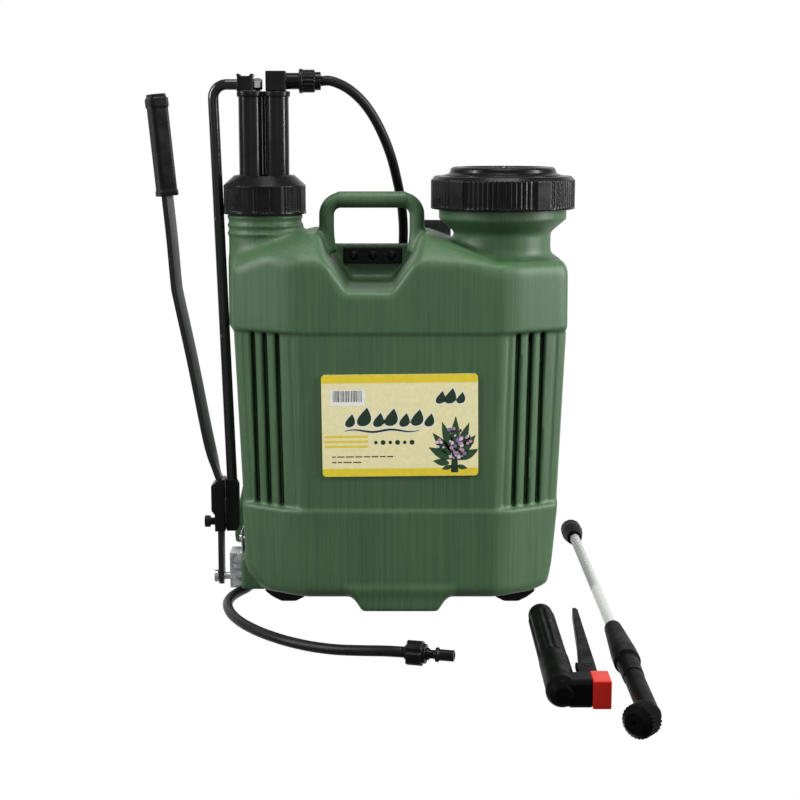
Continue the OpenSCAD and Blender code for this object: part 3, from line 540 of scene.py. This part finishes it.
def tank_field(step):
    """The moulded tank as a distance field: body, necks, handle and recesses, all softly blended."""
    low = np.array([-172.0, -88.0, -6.0])
    high = np.array([172.0, 84.0, 384.0])
    counts = np.ceil((high - low) / step).astype(int) + 1
    axes = []
    for i in range(3):
        along_axis = low[i] + step * np.arange(counts[i], dtype=np.float32)
        axes.append(along_axis.reshape([-1 if k == i else 1 for k in range(3)]))
    x, y, z = axes
    front_view = (x[:, 0, :], z[0, 0, :][None, :])
    soft = max(1, round(3.0 / step))
    lean = 1 + 0.00028 * np.clip(245 - z, 0, 300)

    middle, reach = (BAND[0] + BAND[1]) / 2, (BAND[1] - BAND[0]) / 2
    in_band = np.abs(z - middle) - reach
    # Body: the plan narrows towards the floor, and is cut by the front and side views
    plan = outline_distance(PLAN, x * lean, y) - 1.2 * np.clip(in_band / 2.5 + 0.5, 0, 1)
    face = blurred(outline_distance(FACE, *front_view), 3 * soft)[:, None, :]
    side = blurred(outline_distance(SIDE, y[0, :, :], z[0, 0, :][None, :]), 2 * soft)[None, :, :]
    side = side - 1.2 * np.clip(in_band / 2.5 + 0.5, 0, 1)
    # Its upright edges are rounded by the blend with a box of its greatest width and depth
    plan = both(plan, np.maximum(np.abs(x * lean) - HALF_WIDTH, y - BACK), 6.0)
    form = both(both(plan, face, 13.0), side, 11.0)

    # The band of the label panel: pleated corners, sunk a little all round
    flat_x = np.abs(x * lean)
    sunk = both(both(-(plan + 2.6), in_band, 3.0), 88.5 - flat_x, 2.5)
    sunk = both(sunk, y - 40, 6.0)
    form = both(form, -sunk, 3.0)
    panel = both(both(y - FRONT - 1.8, in_band + 1.0, 0.8), flat_x - 88.0, 0.8)
    form = both(form, -panel, 1.0)
    c, q = math.cos(CORNER_TURN), math.sin(CORNER_TURN)
    along_corner = (flat_x - CORNER_X) * c + (y - FRONT) * q
    below = -(flat_x - CORNER_X) * q + (y - FRONT) * c
    from_slots = np.abs(x - SLOT_MIDDLE) + 0.018 * (250 - z)
    for slot in SLOTS:
        groove = both(np.abs(from_slots - slot) - 1.8, below - 19.0, 1.0)
        groove = both(groove, in_band + 0.5, 2.0)
        form = both(form, -groove, 2.4)
    for place in GROOVES:
        groove = both(np.abs(along_corner - (place - CORNER_X) / c) - 0.5, below - 3.4, 1.0)
        form = both(form, -both(groove, in_band + 3.0, 3.0), 2.5)

    # Back: two long pads for the wearer and a gutter between them
    gutter = both(np.abs(x) - 9, 64.5 - y, 8.0)
    form = both(form, -both(gutter, np.abs(z - 165) - 110, 12.0), 8.0)
    for level in (75, 130, 185, 240):
        rib = both(np.abs(z - level) - 3.0, np.abs(np.abs(x) - 82) - 40, 8.0)
        form = both(form, -both(rib, 68.5 - y, 3.0), 5.0)

    # Foot, side housing and necks
    foot = blurred(outline_distance(FOOT, *front_view), soft)
    foot = both(foot[:, None, :], np.maximum(FRONT + 2 - y, y - 40), 4.0)
    form = either(form, foot, 5.0)
    hood = outline_distance(HOOD, *front_view)
    form = either(form, both(hood[:, None, :], np.abs(y - 69) - 6, 3.0), 6.0)
    lip = outline_distance(HOOD_LIP, *front_view)
    form = either(form, both(lip[:, None, :], np.abs(y - 71.5) - 4.5, 1.5), 2.0)
    base = both(np.maximum(np.abs(x + 136) - 13, np.abs(z - 27) - 10.5), np.abs(y - 54) - 13, 5.0)
    form = either(form, base, 4.0)
    corner = both(np.maximum(np.abs(x + 133) - 13.8, np.abs(z - 24) - 15.5), np.abs(y + 9) - 26, 3.0)
    form = either(form, corner, 2.0)
    from_pump = np.sqrt((x - PUMP[0]) ** 2 + (y - PUMP[1]) ** 2)
    neck = both(from_pump - 33.2, np.abs(z - 309) - 57, 1.5)
    form = either(form, neck, 12.0)
    for level in (335.5, 343, 350.5, 359):
        thread = both(np.abs(z - level) - 1.0, from_pump - 34.9, 1.2)
        form = either(form, both(thread, 30 - from_pump, 1.0), 1.6)
    from_mouth = np.sqrt((x - MOUTH[0]) ** 2 + (y - MOUTH[1]) ** 2)
    tube = both(from_mouth - 44, np.abs(z - 318) - 30, 3.0)
    form = either(form, tube, 10.0)
    flare = [(0, 337), (44, 337), (58, 349), (58, 359), (59, 361), (59, 376), (0, 376)]
    rim = outline_distance([(-r, h) for r, h in reversed(flare)] + flare, from_mouth, z)
    form = either(form, rim, 2.5)

    # Handle: a loop with a slightly fatter grip, its legs spreading into the crest
    recess = blurred(outline_distance(NOTCH, *front_view), 2 * soft)[:, None, :]
    recess = both(recess, y - 58, 5.0)
    saddle = both(both(np.abs(x + 26.5) - 40, 322 - z, 4.0), np.abs(y - 75) - 26, 4.0)
    form = both(form, -either(recess, saddle, 3.0), 8.0)
    centre_x, half_x, top, low_end, bend = -25.75, 41.25, 366.0, 318.0, 14.0
    across = np.abs(x - centre_x)
    corner_x, corner_z = half_x - bend, top - bend
    arc = np.sqrt(np.maximum(across - corner_x, 0) ** 2 + np.maximum(z - corner_z, 0) ** 2)
    ring = np.where(
        (across > corner_x) & (z > corner_z), np.abs(arc - bend),
        np.where(across > corner_x, np.abs(across - half_x), np.abs(z - top)),
    )
    leg_swell = 3.4 * np.clip((340 - z) / 24, 0, 1) ** 2
    loop = np.sqrt(ring ** 2 + y ** 2) - 6.9 - leg_swell
    loop = both(loop, low_end - z, 3.0)
    form = either(form, loop, 5.0)
    grip = both(np.sqrt((z - top) ** 2 + y ** 2) - 7.5, across - 31.5, 0.8)
    form = either(form, grip, 0.8)

    # Parting line of the mould, then the two mouths and the space below them
    seam = both(np.abs(y + 3) - 0.35, form - 0.55, 0.4)
    seam = both(seam, np.maximum(z - 316, 110 - np.abs(x)), 1.0)
    form = either(form, seam, 0.6)
    well_wall = np.interp(z, *zip(*WELL_WALL))
    pump_well = np.maximum(np.maximum(from_pump - 30.5, 22 - z), well_wall - x)
    form = both(form, -pump_well, 1.2)
    cavity = either(from_mouth - 41, np.sqrt(from_mouth ** 2 + (z - 262) ** 2) - 52, 8.0)
    inner = [(0, 240), (41, 240), (41, 339), (55, 351), (55, 380), (0, 380)]
    well = outline_distance([(-r, h) for r, h in reversed(inner)] + inner, from_mouth, z)
    form = both(form, -np.maximum(np.minimum(well, cavity), 215 - z), 1.0)
    return form, low


def tank():
    step = 1.5
    field, low = tank_field(step)
    mesh = field_mesh("tank_shell", field, low, step)
    shell = piece("tank_shell", mesh, "tank_body", "tank_green", green_polyethylene())
    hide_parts("tank")


# ---------------------------------------------------------------- the label, in mm from its lower left corner
LABEL_SIZE = (138.0, 91.5)
LABEL_CORNER = 3.5
FILM_THICK = 0.45
LABEL_Y, LABEL_Z, LABEL_TURN = -78.55, 171.3, 0.6


def box_mark(u, v, wide, high, radius=0.0):
    outline = [(u, v), (u + wide, v), (u + wide, v + high), (u, v + high)]
    return fillet(outline, radius, 5) if radius else outline


def leaf_mark(u, v, length, width, turn):
    """A pointed leaf from its foot, as an outline."""
    steps = 9
    side = [(length * i / steps, width * math.sin(math.pi * (i / steps) ** 0.8)) for i in range(steps + 1)]
    outline = side + [(a, -b) for a, b in reversed(side[1:-1])]
    c, q = math.cos(math.radians(turn)), math.sin(math.radians(turn))
    return [(u + a * c - b * q, v + a * q + b * c) for a, b in outline]


def disc_mark(u, v, r, count=14):
    turns = [2 * math.pi * k / count for k in range(count)]
    return [(u + r * math.cos(t), v + r * math.sin(t)) for t in turns]


def drop_mark(u, v, size, lean=0.25):
    """A water drop, point up."""
    outline = []
    for k in range(20):
        t = 2 * math.pi * k / 20
        a = size * 0.5 * math.sin(t) * math.sin(t / 2) ** 1.3
        b = size * (1 + math.cos(t)) / 2
        outline.append((u + a + lean * b, v + b))
    return outline


def wave_mark(u, v, length, thick, rise):
    steps = 36
    line = [(length * i / steps, rise * math.sin(4 * math.pi * i / steps)) for i in range(steps + 1)]
    half = [thick / 2 * math.sin(math.pi * min(max(i / steps, 0.04), 0.96)) ** 0.5 for i in range(steps + 1)]
    upper = [(u + a, v + b + h) for (a, b), h in zip(line, half)]
    lower = [(u + a, v + b - h) for (a, b), h in zip(line, half)]
    return lower + upper[::-1]


def label_marks():
    """(ink, layer, outline) of every mark. The signs are plain drops, bars and leaves, with no lettering."""
    rng = np.random.default_rng(12)
    wide, high = LABEL_SIZE
    edge, top = LABEL_CORNER, high - 7.6
    marks = [
        ("gold", 1, fillet([(0, 0), (wide, 0), (wide, 7.2), (0, 7.2)], [edge, edge, 0, 0], 6)),
        ("gold", 1, fillet([(0, top), (wide, top), (wide, high), (0, high)], [0, 0, edge, edge], 6)),
    ]
    marks += [("gold", 1, box_mark(2.2, v, 38.5, 1.9)) for v in (26.2, 30.6, 35.0)]
    # Plain bars on a white block
    marks.append(("white", 1, box_mark(7.5, 63.8, 31, 14.2)))
    u = 10.2
    while u < 35.6:
        thick = rng.uniform(0.35, 1.0)
        marks.append(("black", 2, box_mark(u, 67.2, thick, 10.0)))
        u += thick + rng.uniform(0.35, 0.8)
    # A row of spray drops and a swash stand where the name was
    for k, (u, size) in enumerate(((24, 12), (36, 17), (49, 13), (60, 16), (72, 12.5), (83, 15), (94, 12))):
        foot = 44.5 + (0.8 if k % 2 else 0)
        marks.append(("white", 1, drop_mark(u - 0.25, foot - 1.1, size + 2.4)))
        marks.append(("deep", 2, drop_mark(u, foot, size)))
    marks.append(("white", 1, wave_mark(19.0, 41.2, 68, 3.4, 1.0)))
    marks.append(("deep", 2, wave_mark(20.0, 41.2, 66, 2.0, 1.0)))
    for u, size in ((104, 11.5), (112.5, 14), (122, 10.5)):
        marks.append(("white", 1, drop_mark(u - 0.2, 64.0, size + 2.0)))
        marks.append(("deep", 2, drop_mark(u, 64.9, size)))
    for k in range(6):
        marks.append(("deep", 2, disc_mark(47.5 + 6.4 * k, 30.6, 2.2 if k % 2 else 1.6)))
    for v, total in ((17.4, 56), (12.4, 26)):
        u = 8.5
        while u < 8.5 + total:
            run = rng.uniform(2.5, 7.5)
            marks.append(("black", 2, box_mark(u, v, min(run, 8.5 + total - u), 1.0, 0.3)))
            u += run + 1.3
    # A plain sprig: leaves round a stem, with round berries
    stem_x = 117.0
    for turn, length, width in (
        (172, 15, 3.2), (150, 22, 3.8), (128, 27, 4.0), (108, 31, 4.0), (88, 34, 4.2),
        (68, 31, 4.0), (50, 25, 4.0), (28, 20, 3.8), (196, 10, 2.2), (-14, 10, 2.2),
    ):
        reach = 11 if turn not in (196, -14) else 5
        c, q = math.cos(math.radians(turn)), math.sin(math.radians(turn))
        leaf_foot = (stem_x + reach * c * 0.4, 10 + reach * q * 0.9)
        marks.append(("leaf", 3, leaf_mark(*leaf_foot, length, width, turn)))
    marks.append(("deep", 3, fillet([(113.6, 3), (120.4, 3), (119, 24), (115, 24)], 1.0, 3)))
    for k in range(46):
        t, ring = rng.uniform(0, 2 * math.pi), math.sqrt(rng.uniform(0, 1))
        centre = (116 + 15.5 * ring * math.cos(t), 29 + 13.5 * ring * math.sin(t))
        r = rng.uniform(0.8, 1.9)
        ink = ("pink", "lilac", "pale")[int(rng.integers(3))]
        marks.append(("deep", 4, disc_mark(centre[0] + 0.6, centre[1] - 0.6, r + 0.7, 10)))
        marks.append((ink, 5 + 0.02 * k, disc_mark(*centre, r, 12)))
    return marks


def label():
    wide, high = LABEL_SIZE
    c, q = math.cos(math.radians(LABEL_TURN)), math.sin(math.radians(LABEL_TURN))

    def place(u, v, lift):
        a, b = u - wide / 2, v - high / 2
        return Vector((a * c - b * q, LABEL_Y - lift, LABEL_Z + a * q + b * c)) * MM

    def set_out(name, outlines, slot, materials):
        points, faces, inks = [], [], []
        for ink, lift, outline in outlines:
            faces.append(tuple(range(len(points), len(points) + len(outline))))
            points += [place(u, v, lift) for u, v in outline]
            inks.append(ink)
        mesh = bpy.data.meshes.new(name)
        mesh.from_pydata(points, [], faces)
        obj = piece(name, mesh, "tank_body", slot, *materials)
        for face, ink in zip(mesh.polygons, inks):
            face.material_index = ink
        return obj

    paper = fillet([(0, 0), (wide, 0), (wide, high), (0, high)], LABEL_CORNER, 6)
    cream = printed("label_cream", (0.80, 0.74, 0.42))
    both_faces = [(0, 0.0, paper), (0, -FILM_THICK, paper[::-1])]
    sheet = set_out("label_film", both_faces, "label_film", [cream])
    count = len(paper)
    bm = bmesh.new()
    bm.from_mesh(sheet.data)
    bm.verts.ensure_lookup_table()
    front, back = bm.verts[:count], bm.verts[count:][::-1]
    for k in range(count):
        m = (k + 1) % count
        bm.faces.new((front[k], back[k], back[m], front[m]))
    bmesh.ops.recalc_face_normals(bm, faces=bm.faces)
    bm.to_mesh(sheet.data)
    bm.free()
    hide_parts("label")

    inks = {
        "gold": (0.74, 0.58, 0.035), "white": (0.80, 0.80, 0.76), "black": (0.022, 0.022, 0.022),
        "deep": (0.012, 0.034, 0.014), "leaf": (0.020, 0.062, 0.026),
        "pink": (0.48, 0.27, 0.38), "lilac": (0.22, 0.16, 0.34), "pale": (0.66, 0.55, 0.62),
    }
    order = list(inks)
    outlines = []
    for ink, layer, outline in label_marks():
        inside = [(min(max(u, 0.15), wide - 0.15), min(max(v, 0.15), high - 0.15)) for u, v in outline]
        clean = [p for k, p in enumerate(inside) if p != inside[k - 1]]
        outlines.append((order.index(ink), 0.02 + 0.012 * layer, clean))
    colours = [printed("ink_" + name, colour) for name, colour in inks.items()]
    set_out("label_print", outlines, "label_film", colours)


# ---------------------------------------------------------------- tubes, straps and bars along a line
def smooth_line(route, per=6):
    """Catmull-Rom through the route, in mm."""
    p = [Vector(q) for q in route]
    p = [2 * p[0] - p[1]] + p + [2 * p[-1] - p[-2]]
    out = []
    for a, b, c, d in zip(p, p[1:], p[2:], p[3:]):
        for k in range(per):
            t = k / per
            square, cube = 2 * a - 5 * b + 4 * c - d, 3 * b - a - 3 * c + d
            out.append(0.5 * (2 * b + (c - a) * t + square * t * t + cube * t ** 3))
    return out + [p[-2]]


def sweep(name, line, section, across=(1, 0, 0), turn=None, scale=None):
    """A section, a list of (across, out), carried along the line.

    turn and scale are functions of how far along the line a row is, from 0 to 1.
    """
    rows, count = len(line), len(section)
    points, faces = [], []
    side = Vector(across)
    for i, p in enumerate(line):
        way = (line[min(i + 1, rows - 1)] - line[max(i - 1, 0)]).normalized()
        side = (side - way * side.dot(way)).normalized()
        out = way.cross(side)
        share = i / (rows - 1)
        angle = turn(share) if turn else 0.0
        ax = side * math.cos(angle) + out * math.sin(angle)
        ay = out * math.cos(angle) - side * math.sin(angle)
        grow = scale(share) if scale else (1.0, 1.0)
        points += [(p + ax * a * grow[0] + ay * b * grow[1]) * MM for a, b in section]
    for i in range(rows - 1):
        for k in range(count):
            m = (k + 1) % count
            faces.append((i * count + k, i * count + m, (i + 1) * count + m, (i + 1) * count + k))
    faces += [tuple(range(count)), tuple(range((rows - 1) * count, rows * count))]
    return new_mesh(name, points, faces)


def round_section(r, count=20):
    return disc_mark(0, 0, r, count)


HOSE_ROUTE = [
    (-71.3, 5, 472), (-62, 5, 472), (-48, 8, 466), (-35, 13, 455), (-24, 20, 440), (-15, 28, 422),
    (-8, 38, 403), (-3, 49, 383), (1, 61, 362), (3, 72, 341), (3, 80.5, 320), (1, 83.5, 299),
    (-3, 83, 277), (-9, 81, 255), (-17, 80, 233), (-27, 80, 211), (-39, 81, 189), (-53, 82.5, 168),
    (-68, 84, 147), (-83, 85, 126), (-98, 86, 106), (-112, 87, 85), (-125, 88, 65), (-135, 88.5, 45),
    (-141, 85, 26), (-143, 74, 11), (-141.5, 56, 4.7), (-140, 38, 4.7), (-140, 18, 4.7),
    (-140.5, 0, 4.7), (-143.5, -15, 4.7), (-150, -29, 4.7), (-155, -45, 4.7), (-156.5, -64, 4.7),
    (-153, -86, 4.7), (-146, -107, 4.7), (-136, -127, 4.7), (-123, -146, 4.7), (-108, -163, 4.7),
    (-91, -178, 4.7), (-72, -191, 5), (-52, -202, 6.2), (-31, -211, 8.4), (-12, -217.5, 10.2),
    (4, -221.5, 10.6),
]


def hose():
    line = smooth_line(HOSE_ROUTE, 4)
    mesh = sweep("hose_tube", line, round_section(4.5, 24), (0, 1, 0))
    tube = bpy.data.objects.new("hose_tube", mesh)
    bpy.context.scene.collection.objects.link(tube)
    mesh.materials.append(hose_rubber())
    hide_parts("hose")
    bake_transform(tube)


STRAP_LINE = [(84.3, 300), (95, 288), (107, 255), (112, 205), (110, 150), (102, 100), (93, 68), (84.3, 50)]


def harness():
    webbing = woven("webbing", 900, (0.003, 0.003, 0.0035), (0.011, 0.011, 0.012), 0.25)
    cloth = woven("pad_cloth", 520, (0.010, 0.010, 0.012), (0.036, 0.036, 0.040), 0.35)
    thread = woven("stitching", 1500, (0.06, 0.06, 0.06), (0.12, 0.12, 0.12), 0.2)
    band = fillet([(-19, -1.1), (19, -1.1), (19, 1.1), (-19, 1.1)], 0.8, 3)
    ribs = []
    for a, b in zip(band, band[1:] + band[:1]):
        ribs.append(a)
        if abs(b[0] - a[0]) > 20:
            for k in range(1, 20):
                x = a[0] + (b[0] - a[0]) * k / 20
                ribs.append((x, a[1] * (1 + 0.10 * math.cos(math.pi * k))))
    for name, x in (("left", -30), ("right", 30)):
        rng = np.random.default_rng(3 if x < 0 else 4)
        route = STRAP_LINE if x < 0 else [(82.5, 343), (83.5, 318)] + STRAP_LINE
        line = smooth_line([(x, y, z) for y, z in route], 8)
        sway = rng.uniform(0, 2 * math.pi)
        for i, p in enumerate(line):
            share = i / (len(line) - 1)
            p.x += 1.6 * math.sin(math.pi * share) * math.sin(5 * share + sway)

        def roll(share):
            return 0.05 * math.sin(7 * share + sway) * math.sin(math.pi * share)

        mesh = sweep(name + "_webbing", line, ribs, (1, 0, 0), roll)
        strap = piece(name + "_webbing", mesh, "tank_body", "webbing", webbing)
        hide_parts(name + "_strap")
        # The pad: two cloth faces over foam, pinched at a piped edge
        pad_line = smooth_line([(x, 111.2, 262), (x, 118.6, 205), (x, 116.6, 146)], 14)
        steps = 40
        section = []
        for k in range(steps):
            t = 2 * math.pi * k / steps
            c, q = math.cos(t), math.sin(t)
            section.append((27 * math.copysign(abs(c) ** 0.45, c), 5.6 * math.copysign(abs(q) ** 0.75, q)))

        def pad_end(share):
            far = abs(2 * share - 1)
            round_off = math.sqrt(max(1 - max(far - 0.84, 0) ** 2 / 0.0257, 0.0))
            quilt = 1 - 0.16 * math.exp(-(((share * 4) % 1 - 0.5) / 0.09) ** 2)
            return (0.72 + 0.28 * round_off, (0.25 + 0.75 * round_off) * quilt)

        pad_mesh = sweep(name + "_shoulder_pad", pad_line, section, (1, 0, 0), None, pad_end)
        cushion = piece(name + "_shoulder_pad", pad_mesh, "tank_body", "pad_fabric", cloth)
        modify(cushion, "SUBSURF", levels=1, render_levels=1)
        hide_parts(name + "_pad")
        rim = []
        for side in (1, -1):
            rows = range(len(pad_line)) if side > 0 else range(len(pad_line) - 1, -1, -1)
            for i in rows:
                share = i / (len(pad_line) - 1)
                rim.append(pad_line[i] + Vector((side * 27.2 * pad_end(share)[0], 0, 0)))
        rim_mesh = sweep(name + "_piping", rim + rim[:1], round_section(1.3, 8), (0, 1, 0))
        piece(name + "_piping", rim_mesh, "tank_body", "webbing", webbing)
        # Box stitches where the webbing is sewn back on itself
        points, faces = [], []
        for i in (6, 10, len(line) - 11, len(line) - 7):
            way = (line[i + 1] - line[i - 1]).normalized()
            out = way.cross(Vector((1, 0, 0))).normalized()
            out = out if out.y > 0 else -out
            for k in range(11):
                at = line[i] + Vector((-15 + 3 * k, 0, 0)) + out * 1.25
                for a, b in ((-1.0, -0.25), (1.0, -0.25), (1.0, 0.25), (-1.0, 0.25)):
                    points.append((at + Vector((a, 0, 0)) + way * b) * MM)
                n = len(points)
                faces.append((n - 4, n - 3, n - 2, n - 1))
        stitches = new_mesh(name + "_stitches", points, faces, False)
        piece(name + "_stitches", stitches, "tank_body", "webbing", thread)


BAR_LINE = [
    (-169, 11), (-169, 30), (-169, 96), (-172, 112), (-179.4, 143), (-192.8, 218), (-204.2, 276),
    (-206.2, 290), (-209, 330), (-212.5, 369), (-214.7, 393),
]
BAR_TWIST = -17
GRIP_FOOT = (-212.5, 5, 369)
GRIP_LEAN = -5.2
GRIP_TURN, GRIP_SLIM = 32, 0.82


def lever_bar():
    """Flat bar with its eye at the axle, twisted so that its face turns towards the front above the hub."""
    line = smooth_line([(x, 5, z) for x, z in BAR_LINE], 6)
    section = fillet([(-8, -2.5), (8, -2.5), (8, 2.5), (-8, 2.5)], 0.7, 3)

    def twist(share):
        t = min(max((share - 0.28) / 0.12, 0), 1)
        return math.radians(BAR_TWIST) * t * t * (3 - 2 * t)

    mesh = sweep("bar_body", line, section, (0, 1, 0), twist)
    # Painted highlight: the broad flats take the grey material for their lit side, and the narrow edges take
    # the black enamel
    face, edge = bar_steel_painted_lit_flats(), black_enamel()
    bar = piece("bar_body", mesh, "lever_body", "painted_steel", face, edge)
    count = len(section)
    for polygon in mesh.polygons:
        k = polygon.index % count
        if polygon.index < (len(line) - 1) * count and abs(section[k][0] - section[(k + 1) % count][0]) < 4:
            polygon.material_index = 1
    eye = [(-2.5, 3.6), (2.5, 3.6), (2.5, 7.4), (1.9, 8.0), (-1.9, 8.0), (-2.5, 7.4)]
    turn = Matrix.Rotation(math.radians(90), 4, "Y")
    eye_mesh = lathe("bar_eye", [(r, h) for h, r in eye], (-169, 5, 11), turn, 48)
    piece("bar_eye", eye_mesh, "lever_body", "painted_steel", edge)
    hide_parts("lever_bar")


# ---------------------------------------------------------------- pieces taken from the CAD solids
# Softened copies, each with its voxel in mm and its passes of smoothing
MOULDED = {
    "pump_nut": (0.50, 1), "lid_ring": (0.55, 1), "lid": (0.60, 2), "vent_cap": (0.40, 2),
    "plunger_head": (0.45, 2), "outlet_elbow": (0.40, 2), "outlet_nut": (0.35, 1), "rod_foot": (0.50, 2),
    "drive_rod": (0.50, 1), "lever_hub": (0.50, 2), "lever_grip": (0.50, 2),
    "left_skid": (0.80, 2), "right_skid": (0.80, 2),
    "strap_anchor": (0.45, 2), "strap_hooks": (0.60, 2), "strap_buckles": (0.50, 2), "hose_clips": (0.50, 2),
    "hose_nut": (0.35, 1), "hose_tail": (0.35, 1), "valve_body": (0.45, 2), "valve_grip": (0.45, 1),
    "valve_cap": (0.45, 2), "trigger": (0.40, 2), "lance_nut": (0.70, 4), "lance_handle": (0.45, 2),
    "nozzle_elbow": (0.40, 2), "nozzle_cap": (0.35, 1), "axle_bracket": (0.40, 1), "pump_guide": (0.50, 1),
    "cylinder_foot": (0.40, 1),
}
ROD_SWELL = 0.9
FOOT_INWARD = 1.8
OWN_PIECES = ("tank", "label", "hose", "left_strap", "right_strap", "left_pad", "right_pad", "lever_bar")
DULL = (
    "lance_nut", "lance_handle", "valve_body", "valve_grip", "trigger", "trigger_pin", "nozzle_elbow",
    "nozzle_cap",
)
ENAMELLED = ("drive_rod",)
STEEL = ("axle", "rod_nut", "bracket_screws", "valve_spring", "nozzle_disc", "foot_valve_ball")
SEALS = ("pump_gasket", "lid_gasket", "piston_seal")
CLEAR = ("suction_pipe", "fill_strainer")


def solids():
    black, gloss = black_moulding(), black_moulding("black_tube", 0.17, 600, 0.004)
    dull = black_moulding("black_handle", 0.42, 1100, 0.002, 0.03)
    looks = {"rod": black_enamel(), "steel": bright_steel(), "seal": seal_rubber(), "clear": clear_tube()}
    red, zinc, pipe = red_moulding(), zinc_plate(), grey_pipe_coat()
    for node, obj in frame["nodes"].items():
        if node in OWN_PIECES:
            continue
        material, slot = black, "black_plastic"
        if node in ENAMELLED:
            material, slot = looks["rod"], "painted_steel"
        elif node in STEEL:
            material, slot = looks["steel"], "bright_steel"
        elif node in SEALS:
            material, slot = looks["seal"], "rubber_seal"
        elif node in CLEAR:
            material, slot = looks["clear"], "natural_plastic"
        elif node in ("plunger", "air_chamber"):
            material = gloss
        elif node in DULL:
            material = dull
        elif node == "valve_cap":
            material, slot = red, "red_plastic"
        elif node == "axle_bracket":
            material, slot = zinc, "bright_steel"
        elif node == "lance_tube":
            material, slot = pipe, "grey_pipe"
        if node in MOULDED:
            voxel, passes = MOULDED[node]
            swell = ROD_SWELL if node == "drive_rod" else 0.0
            mesh = softened(node, voxel * (1), passes, swell)
            if node == "lever_grip":
                mesh.transform(about_grip(GRIP_TURN, GRIP_SLIM))
            if node == "cylinder_foot":
                mesh.transform(Matrix.Translation((FOOT_INWARD * MM, 0, 0)))
            made = piece(node + "_moulded", mesh, obj["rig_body"], slot, material)
            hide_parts(node)
        else:
            obj.data.materials.clear()
            obj.data.materials.append(material)


def about_grip(degrees, slim):
    """The lever's grip turned about its own length and slimmed across it."""
    foot = Vector(GRIP_FOOT) * MM
    lean = math.radians(GRIP_LEAN)
    axis = Vector((math.sin(lean), 0, math.cos(lean)))
    upright = Matrix.Rotation(lean, 4, "Y")
    narrow = upright @ Matrix.Diagonal((slim, slim, 1, 1)) @ upright.inverted()
    turn = Matrix.Rotation(math.radians(degrees), 4, axis)
    return Matrix.Translation(foot) @ turn @ narrow @ Matrix.Translation(-foot)


# ---------------------------------------------------------------- everything together
camera()
studio()
tank()
label()
solids()
lever_bar()
harness()
hose()
